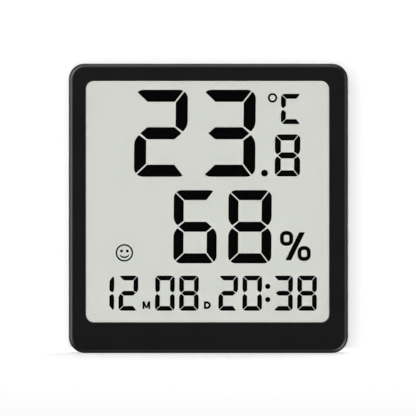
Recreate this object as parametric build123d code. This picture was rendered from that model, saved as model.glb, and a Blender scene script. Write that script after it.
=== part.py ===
from build123d import *
import os
from math import asin, cos, pi, radians, sin, sqrt

os.makedirs("parts", exist_ok=True)

# A battery thermometer and humidity gauge with a clock, in millimetres.
# X runs to the right across the display, Y from the display to the back, Z up.
# The origin is under the middle of the case, on the surface that it stands on.
# A depth is a distance behind the front face. It becomes a place on Y in depth_y.

# Case
case_width = 76.0
case_height = 78.9
case_depth = 20.6
corner_radius = 4.4
front_edge_radius = 1.3
back_edge_radius = 1.3
side_wall = 2.0
back_wall = 1.8
front_depth = 9.0  # from the front face to the seam with the rear cover
seam_gap = 0.2
seam_lap = 1.8  # how far the rear cover's lip reaches into the front housing
lap_wall = 1.0  # what is left of the front housing's wall outside that lip
case_clearance = 0.1
overrun = 1.0  # how far a cutting shape runs past what it cuts

# Window and lens
left_bezel = 4.7
right_bezel = 5.2
top_bezel = 4.8
bottom_bezel = 8.45
window_radius = 2.2
window_edge_radius = 0.3
lip_thickness = 0.8  # of the front wall in front of the lens
tape_thickness = 0.2
tape_setback = 0.15
lens_thickness = 1.0
lens_margin = 1.2  # of the lens beyond the window
lens_clearance = 0.1

# Display cell
polarizer_thickness = 0.2
polarizer_setback = 0.5
glass_thickness = 1.1
glass_margin = 1.3  # of the rear glass beyond the window
contact_ledge = 2.4  # of the front glass below the rear glass
cell_gap = 0.1
seal_width = 0.8
segment_thickness = 0.06
reflector_thickness = 0.25
display_clearance = 0.1

# Display artwork: a digit's outline, as shares of its stroke or its height
segment_gap_share = 0.11
shoulder_share = 0.76
left_cut_angle = 43.0
right_cut_angle = 56.0
waist_rise_share = 1.01
waist_tip_share = 0.14
waist_inset_share = 0.40
middle_tip_share = 0.50
mitre_share = 0.70
lean_share = 0.008

# Display artwork: places and sizes, as shares of the window from its left and top edges
# left, top, digit width, digit height, stroke over digit width, pitch of the digits
temperature_shares = (0.1977, 0.0356, 0.2205, 0.3615, 0.227, 0.2800)
decimal_shares = (0.7774, 0.2209, 0.1050, 0.1746, 0.240, 0.0)
unit_shares = (0.8028, 0.0525, 0.0856, 0.1260, 0.240, 0.0)
humidity_shares = (0.3600, 0.4524, 0.1787, 0.3041, 0.232, 0.2256)
month_shares = (0.0344, 0.8073, 0.0809, 0.1458, 0.242, 0.0990)
day_shares = (0.2841, 0.8073, 0.0809, 0.1458, 0.242, 0.0990)
hour_shares = (0.5451, 0.8073, 0.0809, 0.1458, 0.242, 0.0990)
minute_shares = (0.7711, 0.8073, 0.0809, 0.1458, 0.242, 0.0990)
# centre and radius of round marks, and the width of a ring's line
point_shares = (0.7351, 0.3818, 0.0142)
degree_shares = (0.7682, 0.0693, 0.0196)
degree_line_share = 0.0082
colon_shares = ((0.7484, 0.8519, 0.0109), (0.7484, 0.9067, 0.0109))
face_shares = (0.1573, 0.7127, 0.0362)
face_line_share = 0.0066
eye_shares = ((0.1457, 0.7052, 0.0061), (0.1697, 0.7052, 0.0061))
smile_shares = ((0.1382, 0.7213), (0.1573, 0.7314), (0.1763, 0.7213))
# left, top, width and height of the percent sign's two rings, and its corner radius
percent_ring_shares = ((0.7987, 0.6219, 0.0548, 0.0618), (0.8711, 0.6845, 0.0548, 0.0618))
percent_radius_share = 0.0240
percent_line_share = 0.0162
# left and right of the slash at its foot and at its head, with the heights of both
slash_foot_shares = (0.8207, 0.8447, 0.7438)
slash_head_shares = (0.8782, 0.9024, 0.6273)
# left, top, width, height and line width of the two small letters
letter_m_shares = (0.2322, 0.9139, 0.0317, 0.0319, 0.0080)
letter_d_shares = (0.4852, 0.9143, 0.0287, 0.0315, 0.0090)
letter_valley_share = 0.88  # of the M's height, down to where its slopes meet

# Contact strip between the display and the board
strip_width = 1.9
strip_end_setback = 6.5  # from the end of the glass

# Display holder
holder_clearance = 0.15
holder_floor = 1.0
glass_clearance = 0.12
lug_length = 4.0
lug_reach = 0.5
lug_thickness = 1.0
lug_depth = 4.4  # from the front face to the front of a lug
lug_clearance = 0.2
lug_height_shares = (0.2, 0.5, 0.8)  # of the case's height

# Main board
board_thickness = 1.2
board_standoff = 1.1
board_edge_gap = 1.0  # to the case's side walls
board_bottom = 4.2  # above the base
board_top_gap = 1.4  # below the battery bay's lower wall
board_notch_gap = 0.5
board_screw_edge = 4.5  # of the lower pair, from the board's sides
board_screw_low = 11.0
board_screw_drop = 2.0  # of the upper pair, from the board's top
board_screw_inner_spread = 17.0  # of the upper pair
board_screw_radius = 0.75
board_screw_length = 2.6
board_screw_head_radius = 1.5
board_screw_head_height = 0.9
board_hole_clearance = 0.15
pilot_clearance = 0.05
pilot_spare_depth = 0.2
standoff_radius = 2.2
drive_slot_width = 0.45
drive_slot_length_share = 1.3  # of the head's radius, for the whole cross
drive_slot_depth = 0.5

# Parts on the board
chip_size = 9.0
chip_thickness = 1.4
chip_centre_x = 1.0
chip_edge_chamfer = 0.25
lead_count = 11
lead_width = 0.3
lead_thickness = 0.2
lead_reach = 1.0
lead_pitch = 0.72
crystal_radius = 1.0
crystal_length = 6.0
crystal_centre_x = 13.0
crystal_rise = 4.0  # above the board's middle
crystal_lead = 0.3
crystal_lead_length = 1.6
capacitor_radius = 2.0
capacitor_height = 4.2
capacitor_base = 4.4
capacitor_base_height = 0.8
capacitor_centre_x = 12.5
capacitor_drop = 3.0  # below the board's middle
passive_length = 1.6
passive_width = 0.8
passive_height = 0.5
passive_pitch = 2.6
passive_columns = 5
passive_rise = 2.0  # of the upper row's foot above the board's middle
passive_drop = 4.0  # of the lower row's foot below it
passive_start_x = -17.0
sensor_size = 3.0
sensor_thickness = 1.1
sensor_port_radius = 0.7
sensor_port_depth = 0.4

# Push switches and buttons
switch_size = 6.0
switch_height = 3.4
plunger_radius = 1.6
plunger_clearance = 0.1
plunger_height = 1.0  # above the switch body
plunger_seat = 1.0  # inside the switch body
button_side_gap = 0.7  # from a button's flange to the stand's recess
button_top_gap = 0.5  # from the top button's flange to the door's bed
button_pitch = 7.0
button_width = 8.0
button_height = 5.0
button_radius = 2.4
button_clearance = 0.15
button_setback = 0.3  # below the back face
button_flange = 0.8
button_flange_height = 0.8
button_flange_gap = 0.1
button_edge_radius = 0.4
button_travel = 0.4
stem_radius = 1.4
mark_radius = 1.1
mark_line = 0.4
mark_depth = 0.2

# Battery bay, cells and contacts
bay_display_gap = 1.45  # from the display holder to the bay's front wall
cell_length = 43.7
nub_radius = 1.9
nub_length = 0.8
cell_spacing = 0.5
cell_edge_radius = 0.4
bay_end_gap = 0.45  # between the two contact faces and the longest stack
bay_side_gap = 0.25
bay_floor_gap = 0.2
bay_wall = 1.4
bay_floor = 0.9
bay_rib_width = 0.5
bay_rib_height = 2.5
bay_rib_end_gap = 5.0
contact_thickness = 0.4
contact_spacing = 2.4  # between the two contacts' plates
contact_edge_gap = 0.9  # between a contact and the bay's floor or the door
tail_width = 2.4
tail_slot_clearance = 0.15
spring_wire = 0.45
spring_large_radius = 3.2
spring_small_radius = 1.6
spring_turns = 3
spring_length = 4.2
spring_lead = 0.9  # how far the coil starts from its plate, and ends from its cell
arcs_per_turn = 4
steps_per_turn = 60  # where the coil's gaps are measured

# Battery wires
wire_radius = 0.4
wire_slack = 0.6
wire_foot_setback = 0.2  # of the last bend in front of the cells' axes
wire_pad_drop = 2.2  # below the board's top
wire_inset = 0.5  # from the end of its contact's tail
wire_place_shares = (0.60, 0.19)  # of the room beside the bay, for the upper and the lower wire
wire_arc_share = 0.45  # of the shorter run beside each bend

# Battery door
door_thickness = 1.4
door_top_gap = 13.9  # from the top of the case
door_bed_gap = 0.1
door_bed = 1.2
door_overlap = 2.0  # beyond the bay at its sides
door_end_overlap = 2.2  # beyond the bay's box at its closed end
door_clearance = 0.15
tongue_reach = 0.8
tongue_thickness = 0.6
groove_clearance = 0.12
bed_margin = 1.0
tongue_end_setback = 0.5
grip_count = 6
grip_width = 0.5
grip_depth = 0.35
grip_pitch = 1.3
grip_length = 15.0
grip_end_gap = 3.0
pad_length = 34.0
pad_width = 12.0
pad_thickness = 0.5

# Case screws
case_screw_inset = 4.0  # from the inner face of the side walls
case_screw_edge = 6.5  # from the base and from the top of the case
holder_boss_radius = 2.6
holder_boss_height = 4.0
case_post_radius = 3.0
post_gap = 0.1
case_screw_radius = 1.0
case_screw_length = 6.6
case_screw_head_radius = 1.9
case_screw_head_height = 1.4
case_screw_seat = 3.2  # of the post under the screw's head
case_hole_clearance = 0.2

# Hanging slot
hang_radius = 3.1
hang_slot_radius = 1.5
hang_top_gap = 4.0  # from the inner face of the top wall to the end of the slot's centre line
hang_drop = 3.1  # from there to the centre of the entry hole
hang_pocket_depth = 2.0
hang_pocket_wall = 1.0
hang_pocket_clearance = 0.2

# Sensor vents
vent_width = 1.2
vent_pitch = 2.5
vent_side_gap = 3.25  # from the ends of the slots to the stand's recess and to the side wall
vent_end_gap = 4.4  # from the rows' ends to the screw post and to the door's bed
shroud_margin = 1.4
shroud_wall = 1.0
shroud_gap = 0.2  # to the board

# Stand leg
leg_width = 30.4
leg_clearance = 0.3
leg_thickness = 1.8
leg_setback = 0.2  # of its outer face below the back face
leg_foot_gap = 1.4  # above the base
pivot_gap = 3.58  # from the pivot to the door's bed
barrel_radius = 1.3
heel_length = 2.0
heel_clearance = 0.3
recess_floor_gap = 1.0  # behind the leg
recess_floor = 1.4
recess_side = 3.0
pin_radius = 0.75
pin_clearance = 0.05
pin_hold = 2.0  # in each side of the recess
pin_end_gap = 0.2
leg_panel_inset = 4.0
leg_panel_depth = 0.5
leg_panel_radius = 2.0
leg_corner_radius = 1.5
foot_pad_height = 1.0
foot_pad_inset = 2.5

# Places that follow from the sizes above
front_y = -case_depth / 2
front_wall = lip_thickness + tape_thickness + lens_thickness
window_left = left_bezel - case_width / 2
window_right = case_width / 2 - right_bezel
window_bottom = bottom_bezel
window_top = case_height - top_bezel
window_width = window_right - window_left
window_height = window_top - window_bottom
window_x = (window_left + window_right) / 2
window_z = (window_bottom + window_top) / 2
inner_half_width = case_width / 2 - side_wall
inner_back = case_depth - back_wall
polarizer_front = front_wall + display_clearance
front_glass_front = polarizer_front + polarizer_thickness
front_glass_back = front_glass_front + glass_thickness
rear_glass_front = front_glass_back + cell_gap
rear_glass_back = rear_glass_front + glass_thickness
reflector_back = rear_glass_back + reflector_thickness
holder_floor_front = reflector_back + display_clearance
holder_back = holder_floor_front + holder_floor
board_front = holder_back + board_standoff
board_back = board_front + board_thickness
glass_left = window_left - glass_margin
glass_right = window_right + glass_margin
glass_top = window_top + glass_margin
rear_glass_bottom = window_bottom - glass_margin
front_glass_bottom = rear_glass_bottom - contact_ledge
strip_z = rear_glass_bottom - contact_ledge / 2
holder_boss_back = holder_back + holder_boss_height
case_screw_x = inner_half_width - case_screw_inset
case_screw_heights = (case_screw_edge, case_height - case_screw_edge)
case_seat_depth = holder_boss_back + post_gap + case_screw_seat
door_front = case_depth - door_thickness
bed_back = door_front - door_bed_gap
cell_back = bed_back - door_bed_gap
bay_front = holder_back + bay_display_gap + bay_floor
cell_radius = (cell_back - bay_front - bay_floor_gap) / 2
cell_depth = cell_back - cell_radius
cell_pitch = 2 * cell_radius + cell_spacing
contact_width = cell_pitch - contact_spacing
bay_half_length = (cell_length + nub_length + spring_length + bay_end_gap) / 2 + contact_thickness
bay_half_height = cell_pitch / 2 + cell_radius + bay_side_gap
door_half_height = bay_half_height + door_overlap
bay_centre_z = case_height - door_top_gap - door_half_height
upper_cell_z = bay_centre_z + cell_pitch / 2
lower_cell_z = bay_centre_z - cell_pitch / 2
contact_face_x = bay_half_length - contact_thickness
door_left = -(bay_half_length + bay_wall + door_end_overlap)
bed_low = bay_centre_z - door_half_height - tongue_reach - groove_clearance - bed_margin
board_half_width = inner_half_width - board_edge_gap
board_top = bay_centre_z - bay_half_height - bay_wall - board_top_gap
board_middle = (board_bottom + board_top) / 2
side_room = inner_half_width - bay_half_length - bay_wall  # beside the bay, for the wires
wire_places = [bay_half_length + bay_wall + side_room * share for share in wire_place_shares]
tail_reaches = [place + wire_inset - bay_half_length for place in wire_places]
button_back = case_depth - button_setback
plunger_back = board_back + switch_height + plunger_height
leg_back = case_depth - leg_setback
leg_front = leg_back - leg_thickness
recess_back = leg_front - recess_floor_gap
recess_front = recess_back - recess_floor
pivot_depth = leg_back - barrel_radius
recess_half_width = leg_width / 2 + leg_clearance
pivot_height = bed_low - pivot_gap
recess_top = pivot_height + sqrt(heel_length**2 + barrel_radius**2) + heel_clearance
recess_outer = recess_half_width + recess_side
button_centre_x = -(recess_outer + button_side_gap + button_flange + button_width / 2)
button_top_z = bed_low - button_top_gap - button_flange - button_height / 2
button_heights = (button_top_z, button_top_z - button_pitch, button_top_z - 2 * button_pitch)
post_top = case_screw_edge + case_post_radius
sensor_centre_x = (recess_outer + inner_half_width) / 2
sensor_centre_z = (post_top + bed_low) / 2
vent_length = inner_half_width - recess_outer - 2 * vent_side_gap
vent_count = int((bed_low - post_top - 2 * vent_end_gap) / vent_pitch)
hang_slot_z = case_height - side_wall - hang_top_gap
hang_z = hang_slot_z - hang_drop


def depth_y(depth):
    """The place on Y of a plane that lies this far behind the front face."""
    return front_y + depth


def slab(outline, near, far):
    """Fill an outline, drawn in x and z, between two depths."""
    return extrude(Plane.XZ.offset(-depth_y(far)) * outline, far - near, dir=(0, -1, 0))


def rectangle(left, right, bottom, top):
    return Pos((left + right) / 2, (bottom + top) / 2) * Rectangle(right - left, top - bottom)


def block(left, right, near, far, bottom, top):
    return slab(rectangle(left, right, bottom, top), near, far)


def disc(x, z, radius):
    return Pos(x, z) * Circle(radius)


def rod(x, z, radius, near, far):
    return slab(disc(x, z, radius), near, far)


def case_outline(inset):
    """The case seen from the front, drawn in by an inset."""
    width = case_width - 2 * inset
    height = case_height - 2 * inset
    return Pos(0, case_height / 2) * RectangleRounded(width, height, corner_radius - inset)


def window_outline(margin):
    """The window seen from the front, widened by a margin."""
    shape = RectangleRounded(window_width + 2 * margin, window_height + 2 * margin, window_radius + margin)
    return Pos(window_x, window_z) * shape


def case_block():
    """The whole case as one solid with its rounded edges."""
    body = slab(case_outline(0), 0, case_depth)
    body = fillet(body.faces().sort_by(Axis.Y)[0].edges(), front_edge_radius)
    return fillet(body.faces().sort_by(Axis.Y)[-1].edges(), back_edge_radius)


def cross_drive(x, z, radius, back):
    """The cross that is sunk into a screw's head, whose outer face lies at a depth."""
    arm = radius * drive_slot_length_share / 2
    half = drive_slot_width / 2
    cross = rectangle(x - arm, x + arm, z - half, z + half) + rectangle(x - half, x + half, z - arm, z + arm)
    return slab(cross, back - drive_slot_depth, back + overrun)


def front_housing():
    shell = case_block() & slab(case_outline(-overrun), -overrun, front_depth)
    shell -= slab(case_outline(side_wall), front_wall, front_depth + overrun)
    shell -= slab(case_outline(lap_wall), front_depth - seam_lap - case_clearance, front_depth + overrun)
    shell -= slab(window_outline(0), -overrun, front_wall + overrun)
    shell -= slab(window_outline(lens_margin + lens_clearance), lip_thickness, front_wall + overrun)
    front_face = shell.faces().sort_by(Axis.Y)[0]
    shell = fillet(front_face.inner_wires()[0].edges(), window_edge_radius)
    for share in lug_height_shares:
        half = lug_length / 2 + lug_clearance
        reach = inner_half_width + lug_reach - holder_clearance + lug_clearance
        near = lug_depth - lug_clearance
        far = lug_depth + lug_thickness + lug_clearance
        height = case_height * share
        shell -= block(-reach, reach, near, far, height - half, height + half)
    return shell


def lens_tape():
    ring = window_outline(lens_margin) - window_outline(tape_setback)
    return slab(ring, lip_thickness, lip_thickness + tape_thickness)


def display_lens():
    return slab(window_outline(lens_margin), lip_thickness + tape_thickness, front_wall)


def film(near, thickness):
    """A film on the display cell, cut a little smaller than the rear glass."""
    left = glass_left + polarizer_setback
    right = glass_right - polarizer_setback
    bottom = rear_glass_bottom + polarizer_setback
    top = glass_top - polarizer_setback
    return block(left, right, near, near + thickness, bottom, top)


def lcd_front_glass():
    return block(glass_left, glass_right, front_glass_front, front_glass_back, front_glass_bottom, glass_top)


def lcd_rear_glass():
    return block(glass_left, glass_right, rear_glass_front, rear_glass_back, rear_glass_bottom, glass_top)


def lcd_cell_seal():
    """The narrow frame of glue that joins the two glasses at their edges."""
    outer = rectangle(glass_left, glass_right, rear_glass_bottom, glass_top)
    left = glass_left + seal_width
    right = glass_right - seal_width
    bottom = rear_glass_bottom + seal_width
    inner = rectangle(left, right, bottom, glass_top - seal_width)
    return slab(outer - inner, front_glass_back, rear_glass_front)


def artwork(faces):
    """Display segments as thin solids that lie on the rear glass."""
    shapes = [slab(face, rear_glass_front - segment_thickness, rear_glass_front) for face in faces]
    return Compound(children=[solid for shape in shapes for solid in shape.solids()])


def across(share):
    return window_left + window_width * share


def down(share):
    return window_top - window_height * share


def closed_face(corners):
    """A face from points, where a point marked as a bend makes an arc with its two neighbours."""
    edges = []
    spots = corners + [corners[0]]
    index = 0
    while index < len(corners):
        if spots[index + 1][1] == "bend":
            edges.append(ThreePointArc(spots[index][0], spots[index + 1][0], spots[index + 2][0]))
            index += 2
        else:
            edges.append(Line(spots[index][0], spots[index + 1][0]))
            index += 1
    return make_face(edges)


def shoulder(radius, angle):
    """A point of a rounded corner, from the corner's own side and top, at an angle above its side."""
    return radius * (1 - cos(radians(angle))), radius * (1 - sin(radians(angle)))


def digit(character, shares, place=0):
    """The lit segments of one digit, as faces. The place counts the digits of its group."""
    lit = {
        "0": "abcdef", "1": "bc", "2": "abdeg", "3": "abcdg",
        "6": "acdefg", "8": "abcdefg", "C": "adef",
    }[character]
    left_share, top_share, width_share, height_share, stroke_share, pitch_share = shares
    width = window_width * width_share
    height = window_height * height_share
    left = across(left_share + place * pitch_share)
    bottom = down(top_share) - height
    stroke = width * stroke_share
    gap = stroke * segment_gap_share
    radius = stroke * shoulder_share
    mitre = gap * mitre_share
    turn = gap / radius / 2 * 180 / pi
    lean = lean_share * height

    def spot(u, v, flip_u, flip_v, kind="corner"):
        u = width - u if flip_u else u
        v = height - v if flip_v else v
        return (left + u + lean * (v - height / 2) / height, bottom + v), kind

    def bar(flip_v):
        """The top bar, or the bottom one when it is flipped."""
        points = []
        for side, angle in ((False, left_cut_angle), (True, right_cut_angle)):
            tip = shoulder(radius, angle + turn)
            bend = shoulder(radius, (angle + turn + 90) / 2)
            end = [
                spot(stroke + mitre, height - stroke, side, flip_v),
                spot(tip[0], height - tip[1], side, flip_v),
                spot(bend[0], height - bend[1], side, flip_v, "bend"),
                spot(radius, height, side, flip_v),
            ]
            points += end[::-1] if side else end
        return closed_face(points)

    def side(flip_u, flip_v):
        """The upper left side, and the other three when it is flipped."""
        angle = right_cut_angle if flip_u else left_cut_angle
        tip = shoulder(radius, angle - turn)
        bend = shoulder(radius, (angle - turn) / 2)
        rise = stroke * waist_rise_share
        inset = stroke * waist_inset_share
        drop = rise - stroke * waist_tip_share
        waist_radius = (drop**2 + inset**2) / (2 * inset)
        half = asin(drop / waist_radius) / 2
        waist = (waist_radius * (1 - cos(half)), waist_radius * sin(half))
        middle = height / 2
        return closed_face([
            spot(stroke, height - stroke - mitre, flip_u, flip_v),
            spot(tip[0], height - tip[1], flip_u, flip_v),
            spot(bend[0], height - bend[1], flip_u, flip_v, "bend"),
            spot(0, height - radius, flip_u, flip_v),
            spot(0, middle + rise, flip_u, flip_v),
            spot(waist[0], middle + rise - waist[1], flip_u, flip_v, "bend"),
            spot(inset, middle + rise - drop, flip_u, flip_v),
            spot(stroke, middle + stroke / 2 + mitre, flip_u, flip_v),
        ])

    def middle_bar():
        tip = stroke * middle_tip_share
        points = []
        for flip_u in (False, True):
            ends = [
                spot(stroke + mitre, height / 2 - stroke / 2, flip_u, False),
                spot(tip, height / 2, flip_u, False),
                spot(stroke + mitre, height / 2 + stroke / 2, flip_u, False),
            ]
            points += ends[::-1] if flip_u else ends
        return closed_face(points)

    makers = {
        "a": lambda: bar(False), "b": lambda: side(True, False), "c": lambda: side(True, True),
        "d": lambda: bar(True), "e": lambda: side(False, True), "f": lambda: side(False, False),
        "g": middle_bar,
    }
    return [makers[name]() for name in lit]


def dot(shares):
    return disc(across(shares[0]), down(shares[1]), window_width * shares[2])


def ring(shares, line_share):
    line = window_width * line_share
    return dot(shares) - disc(across(shares[0]), down(shares[1]), window_width * shares[2] - line)


def percent_sign():
    faces = []
    line = window_width * percent_line_share
    radius = window_width * percent_radius_share
    for left, top, width_share, height_share in percent_ring_shares:
        width = window_width * width_share
        height = window_height * height_share
        centre = Pos(across(left) + width / 2, down(top) - height / 2)
        hole = RectangleRounded(width - 2 * line, height - 2 * line, radius - line)
        faces.append(centre * (RectangleRounded(width, height, radius) - hole))
    foot_left, foot_right, foot = slash_foot_shares
    head_left, head_right, head = slash_head_shares
    corners = [(foot_left, foot), (foot_right, foot), (head_right, head), (head_left, head)]
    faces.append(closed_face([((across(x), down(z)), "corner") for x, z in corners]))
    return faces


def letter_m():
    left_share, top_share, width_share, height_share, line_share = letter_m_shares
    left = across(left_share)
    top = down(top_share)
    width = window_width * width_share
    height = window_height * height_share
    line = window_width * line_share
    middle = left + width / 2
    legs = rectangle(left, left + line, top - height, top)
    legs += rectangle(left + width - line, left + width, top - height, top)
    valley = top - height * letter_valley_share
    corners = [
        (left, top), (left + line, top), (middle, valley + line), (left + width - line, top),
        (left + width, top), (middle + line / 2, valley), (middle - line / 2, valley),
    ]
    return legs + closed_face([(corner, "corner") for corner in corners])


def letter_d():
    left_share, top_share, width_share, height_share, line_share = letter_d_shares
    left = across(left_share)
    top = down(top_share)
    width = window_width * width_share
    height = window_height * height_share
    line = window_width * line_share

    def bowl(inset):
        radius = height / 2 - inset
        right = left + width - inset
        low = top - height + inset
        stem = rectangle(left + inset, right - radius, low, top - inset)
        round_end = disc(right - radius, top - height / 2, radius)
        return stem + (round_end & rectangle(left + inset, right + inset, low, top - inset))

    return bowl(0) - bowl(line)


def comfort_face():
    """A plain smiling face, which stands for a comfortable reading."""
    half_line = window_width * face_line_share / 2
    faces = [ring(face_shares, face_line_share)] + [dot(eye) for eye in eye_shares]
    smile = []
    for side in (1, -1):
        edge = [(across(x), down(z) + side * half_line) for x, z in smile_shares[::side]]
        smile += list(zip(edge, ("corner", "bend", "corner")))
    return faces + [closed_face(smile)]


def segments_temperature():
    faces = digit("2", temperature_shares) + digit("3", temperature_shares, 1)
    faces += [dot(point_shares)] + digit("8", decimal_shares)
    faces += [ring(degree_shares, degree_line_share)] + digit("C", unit_shares)
    return artwork(faces)


def segments_humidity():
    return artwork(digit("6", humidity_shares) + digit("8", humidity_shares, 1) + percent_sign())


def segments_calendar():
    faces = digit("1", month_shares) + digit("2", month_shares, 1) + [letter_m()]
    faces += digit("0", day_shares) + digit("8", day_shares, 1) + [letter_d()]
    return artwork(faces)


def segments_clock():
    faces = digit("2", hour_shares) + digit("0", hour_shares, 1) + [dot(colon) for colon in colon_shares]
    return artwork(faces + digit("3", minute_shares) + digit("8", minute_shares, 1))


def segments_comfort_icon():
    return artwork(comfort_face())


def contact_strip():
    half = strip_width / 2
    left = glass_left + strip_end_setback
    right = glass_right - strip_end_setback
    return block(left, right, front_glass_back, board_front, strip_z - half, strip_z + half)


def board_screw_places():
    low = [(side * (board_half_width - board_screw_edge), board_screw_low) for side in (-1, 1)]
    high = board_top - board_screw_drop
    return low + [(side * board_screw_inner_spread, high) for side in (-1, 1)]


def case_screw_places():
    return [(side * case_screw_x, height) for height in case_screw_heights for side in (-1, 1)]


def display_holder():
    """The tray that locates the display and carries the board and the case screws."""
    gap = glass_clearance
    tray = slab(case_outline(side_wall + holder_clearance), front_wall, holder_back)
    left = glass_left - gap
    right = glass_right + gap
    near = front_wall - overrun
    top = glass_top + gap
    tray -= block(left, right, near, front_glass_back + display_clearance, front_glass_bottom - gap, top)
    tray -= block(left, right, near, holder_floor_front, rear_glass_bottom - gap, top)
    half = strip_width / 2 + gap
    strip_left = glass_left + strip_end_setback - gap
    strip_right = glass_right - strip_end_setback + gap
    tray -= block(strip_left, strip_right, front_wall, holder_back + overrun, strip_z - half, strip_z + half)
    for x, z in case_screw_places():
        tray += rod(x, z, holder_boss_radius, holder_back, holder_boss_back)
    for x, z in board_screw_places():
        tray += rod(x, z, standoff_radius, holder_back, board_front)
    edge = inner_half_width - holder_clearance
    for share in lug_height_shares:
        low = case_height * share - lug_length / 2
        for side in (-1, 1):
            inner = side * (edge - lug_reach)
            outer = side * (edge + lug_reach)
            far = lug_depth + lug_thickness
            tray += block(min(inner, outer), max(inner, outer), lug_depth, far, low, low + lug_length)
    for x, z in case_screw_places():
        far_end = case_seat_depth - case_screw_length - pilot_spare_depth
        tray -= rod(x, z, case_screw_radius + pilot_clearance, far_end, holder_boss_back + overrun)
    for x, z in board_screw_places():
        far_end = board_back - board_screw_length - pilot_spare_depth
        tray -= rod(x, z, board_screw_radius + pilot_clearance, far_end, board_front + overrun)
    return tray


def main_board():
    half = board_half_width
    board = block(-half, half, board_front, board_back, board_bottom, board_top)
    notch = holder_boss_radius + board_notch_gap
    for side in (-1, 1):
        inner = side * (case_screw_x - notch)
        outer = side * (half + overrun)
        low = board_bottom - overrun
        high = case_screw_edge + notch
        near = board_front - overrun
        board -= block(min(inner, outer), max(inner, outer), near, board_back + overrun, low, high)
    for x, z in board_screw_places():
        radius = board_screw_radius + board_hole_clearance
        board -= rod(x, z, radius, board_front - overrun, board_back + overrun)
    return board


def screw(x, z, radius, length, head_radius, head_height, seat):
    """A screw that goes in from the back, with its head on a seat at a depth."""
    head = seat + head_height
    shape = rod(x, z, radius, seat - length, seat) + rod(x, z, head_radius, seat, head)
    return shape - cross_drive(x, z, head_radius, head)


def board_screws():
    sizes = (board_screw_radius, board_screw_length, board_screw_head_radius, board_screw_head_height)
    return Compound(children=[screw(x, z, *sizes, board_back) for x, z in board_screw_places()])


def case_screws():
    sizes = (case_screw_radius, case_screw_length, case_screw_head_radius, case_screw_head_height)
    return Compound(children=[screw(x, z, *sizes, case_seat_depth) for x, z in case_screw_places()])


def controller_chip():
    """The flat chip that measures, keeps time and drives the display, with its leads."""
    half = chip_size / 2
    near = board_back + lead_thickness / 2
    body = block(-half, half, near, near + chip_thickness, -half, half)
    body = chamfer(body.faces().sort_by(Axis.Y)[-1].edges(), chip_edge_chamfer)
    for index in range(lead_count):
        along = (index - (lead_count - 1) / 2) * lead_pitch
        low = along - lead_width / 2
        high = along + lead_width / 2
        end = half + lead_reach
        back = board_back + lead_thickness
        body += block(-end, end, board_back, back, low, high)
        body += block(low, high, board_back, back, -end, end)
    return Pos(chip_centre_x, 0, board_middle) * body


def clock_crystal():
    """The small metal can of the clock, which lies on the board on its two leads."""
    centre = board_back + crystal_radius
    start = crystal_centre_x - crystal_length / 2
    height = board_middle + crystal_rise
    can = x_rod(start, start + crystal_length, centre, height, crystal_radius)
    for side in (-1, 1):
        z = height + side * crystal_radius / 2
        half = crystal_lead / 2
        left = start - crystal_lead_length
        can += block(left, start + crystal_lead, centre - half, centre + half, z - half, z + half)
        can += block(left, left + crystal_lead, board_back, centre + half, z - half, z + half)
    return can


def filter_capacitor():
    x = capacitor_centre_x
    z = board_middle - capacitor_drop
    half = capacitor_base / 2
    top = board_back + capacitor_base_height
    base = block(x - half, x + half, board_back, top, z - half, z + half)
    return base + rod(x, z, capacitor_radius, top, board_back + capacitor_height)


def board_passives():
    """Small resistors and capacitors in two rows beside the chip."""
    pieces = []
    for row, height in enumerate((board_middle - passive_drop, board_middle + passive_rise)):
        for column in range(passive_columns - row):
            left = passive_start_x + column * passive_pitch
            right = left + passive_width
            back = board_back + passive_height
            pieces.append(block(left, right, board_back, back, height, height + passive_length))
    return Compound(children=pieces)


def sensor_chip():
    x, z = sensor_centre_x, sensor_centre_z
    half = sensor_size / 2
    top = board_back + sensor_thickness
    chip = block(x - half, x + half, board_back, top, z - half, z + half)
    return chip - rod(x, z, sensor_port_radius, top - sensor_port_depth, top + overrun)


def switch_bodies():
    bodies = []
    half = switch_size / 2
    for z in button_heights:
        x = button_centre_x
        top = board_back + switch_height
        body = block(x - half, x + half, board_back, top, z - half, z + half)
        floor = top - plunger_seat - button_travel - plunger_clearance
        bodies.append(body - rod(x, z, plunger_radius + plunger_clearance, floor, top + overrun))
    return Compound(children=bodies)


def switch_plunger(z):
    near = board_back + switch_height - plunger_seat
    return rod(button_centre_x, z, plunger_radius, near, plunger_back)


def clock_mark(z):
    """A ring with two hands, for the button that sets the clock."""
    x = button_centre_x
    half = mark_line / 2
    ring_mark = disc(x, z, mark_radius) - disc(x, z, mark_radius - mark_line)
    hands = rectangle(x - half, x + half, z - half, z + mark_radius - half)
    return ring_mark + hands + rectangle(x - half, x + mark_radius - half, z - half, z + half)


def arrow_mark(z, direction):
    x = button_centre_x
    reach = direction * mark_radius
    corners = [(x - mark_radius, z - reach / 2), (x + mark_radius, z - reach / 2), (x, z + reach)]
    return closed_face([(corner, "corner") for corner in corners])


def button(z, mark):
    """A button cap with its flange inside the cover and a stem that reaches its switch."""
    centre = Pos(button_centre_x, z)
    flange_back = inner_back - button_flange_gap
    flange_front = flange_back - button_flange_height
    face = RectangleRounded(button_width, button_height, button_radius)
    cap = slab(centre * face, flange_front, button_back)
    cap = fillet(cap.faces().sort_by(Axis.Y)[-1].edges(), button_edge_radius)
    width = button_width + 2 * button_flange
    height = button_height + 2 * button_flange
    flange = RectangleRounded(width, height, button_radius + button_flange)
    cap += slab(centre * flange, flange_front, flange_back)
    cap += rod(button_centre_x, z, stem_radius, plunger_back, flange_front)
    return cap - slab(mark, button_back - mark_depth, button_back + overrun)


def door_range(margin):
    """The door's bottom and top, widened by a margin."""
    return bay_centre_z - door_half_height - margin, bay_centre_z + door_half_height + margin


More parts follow.
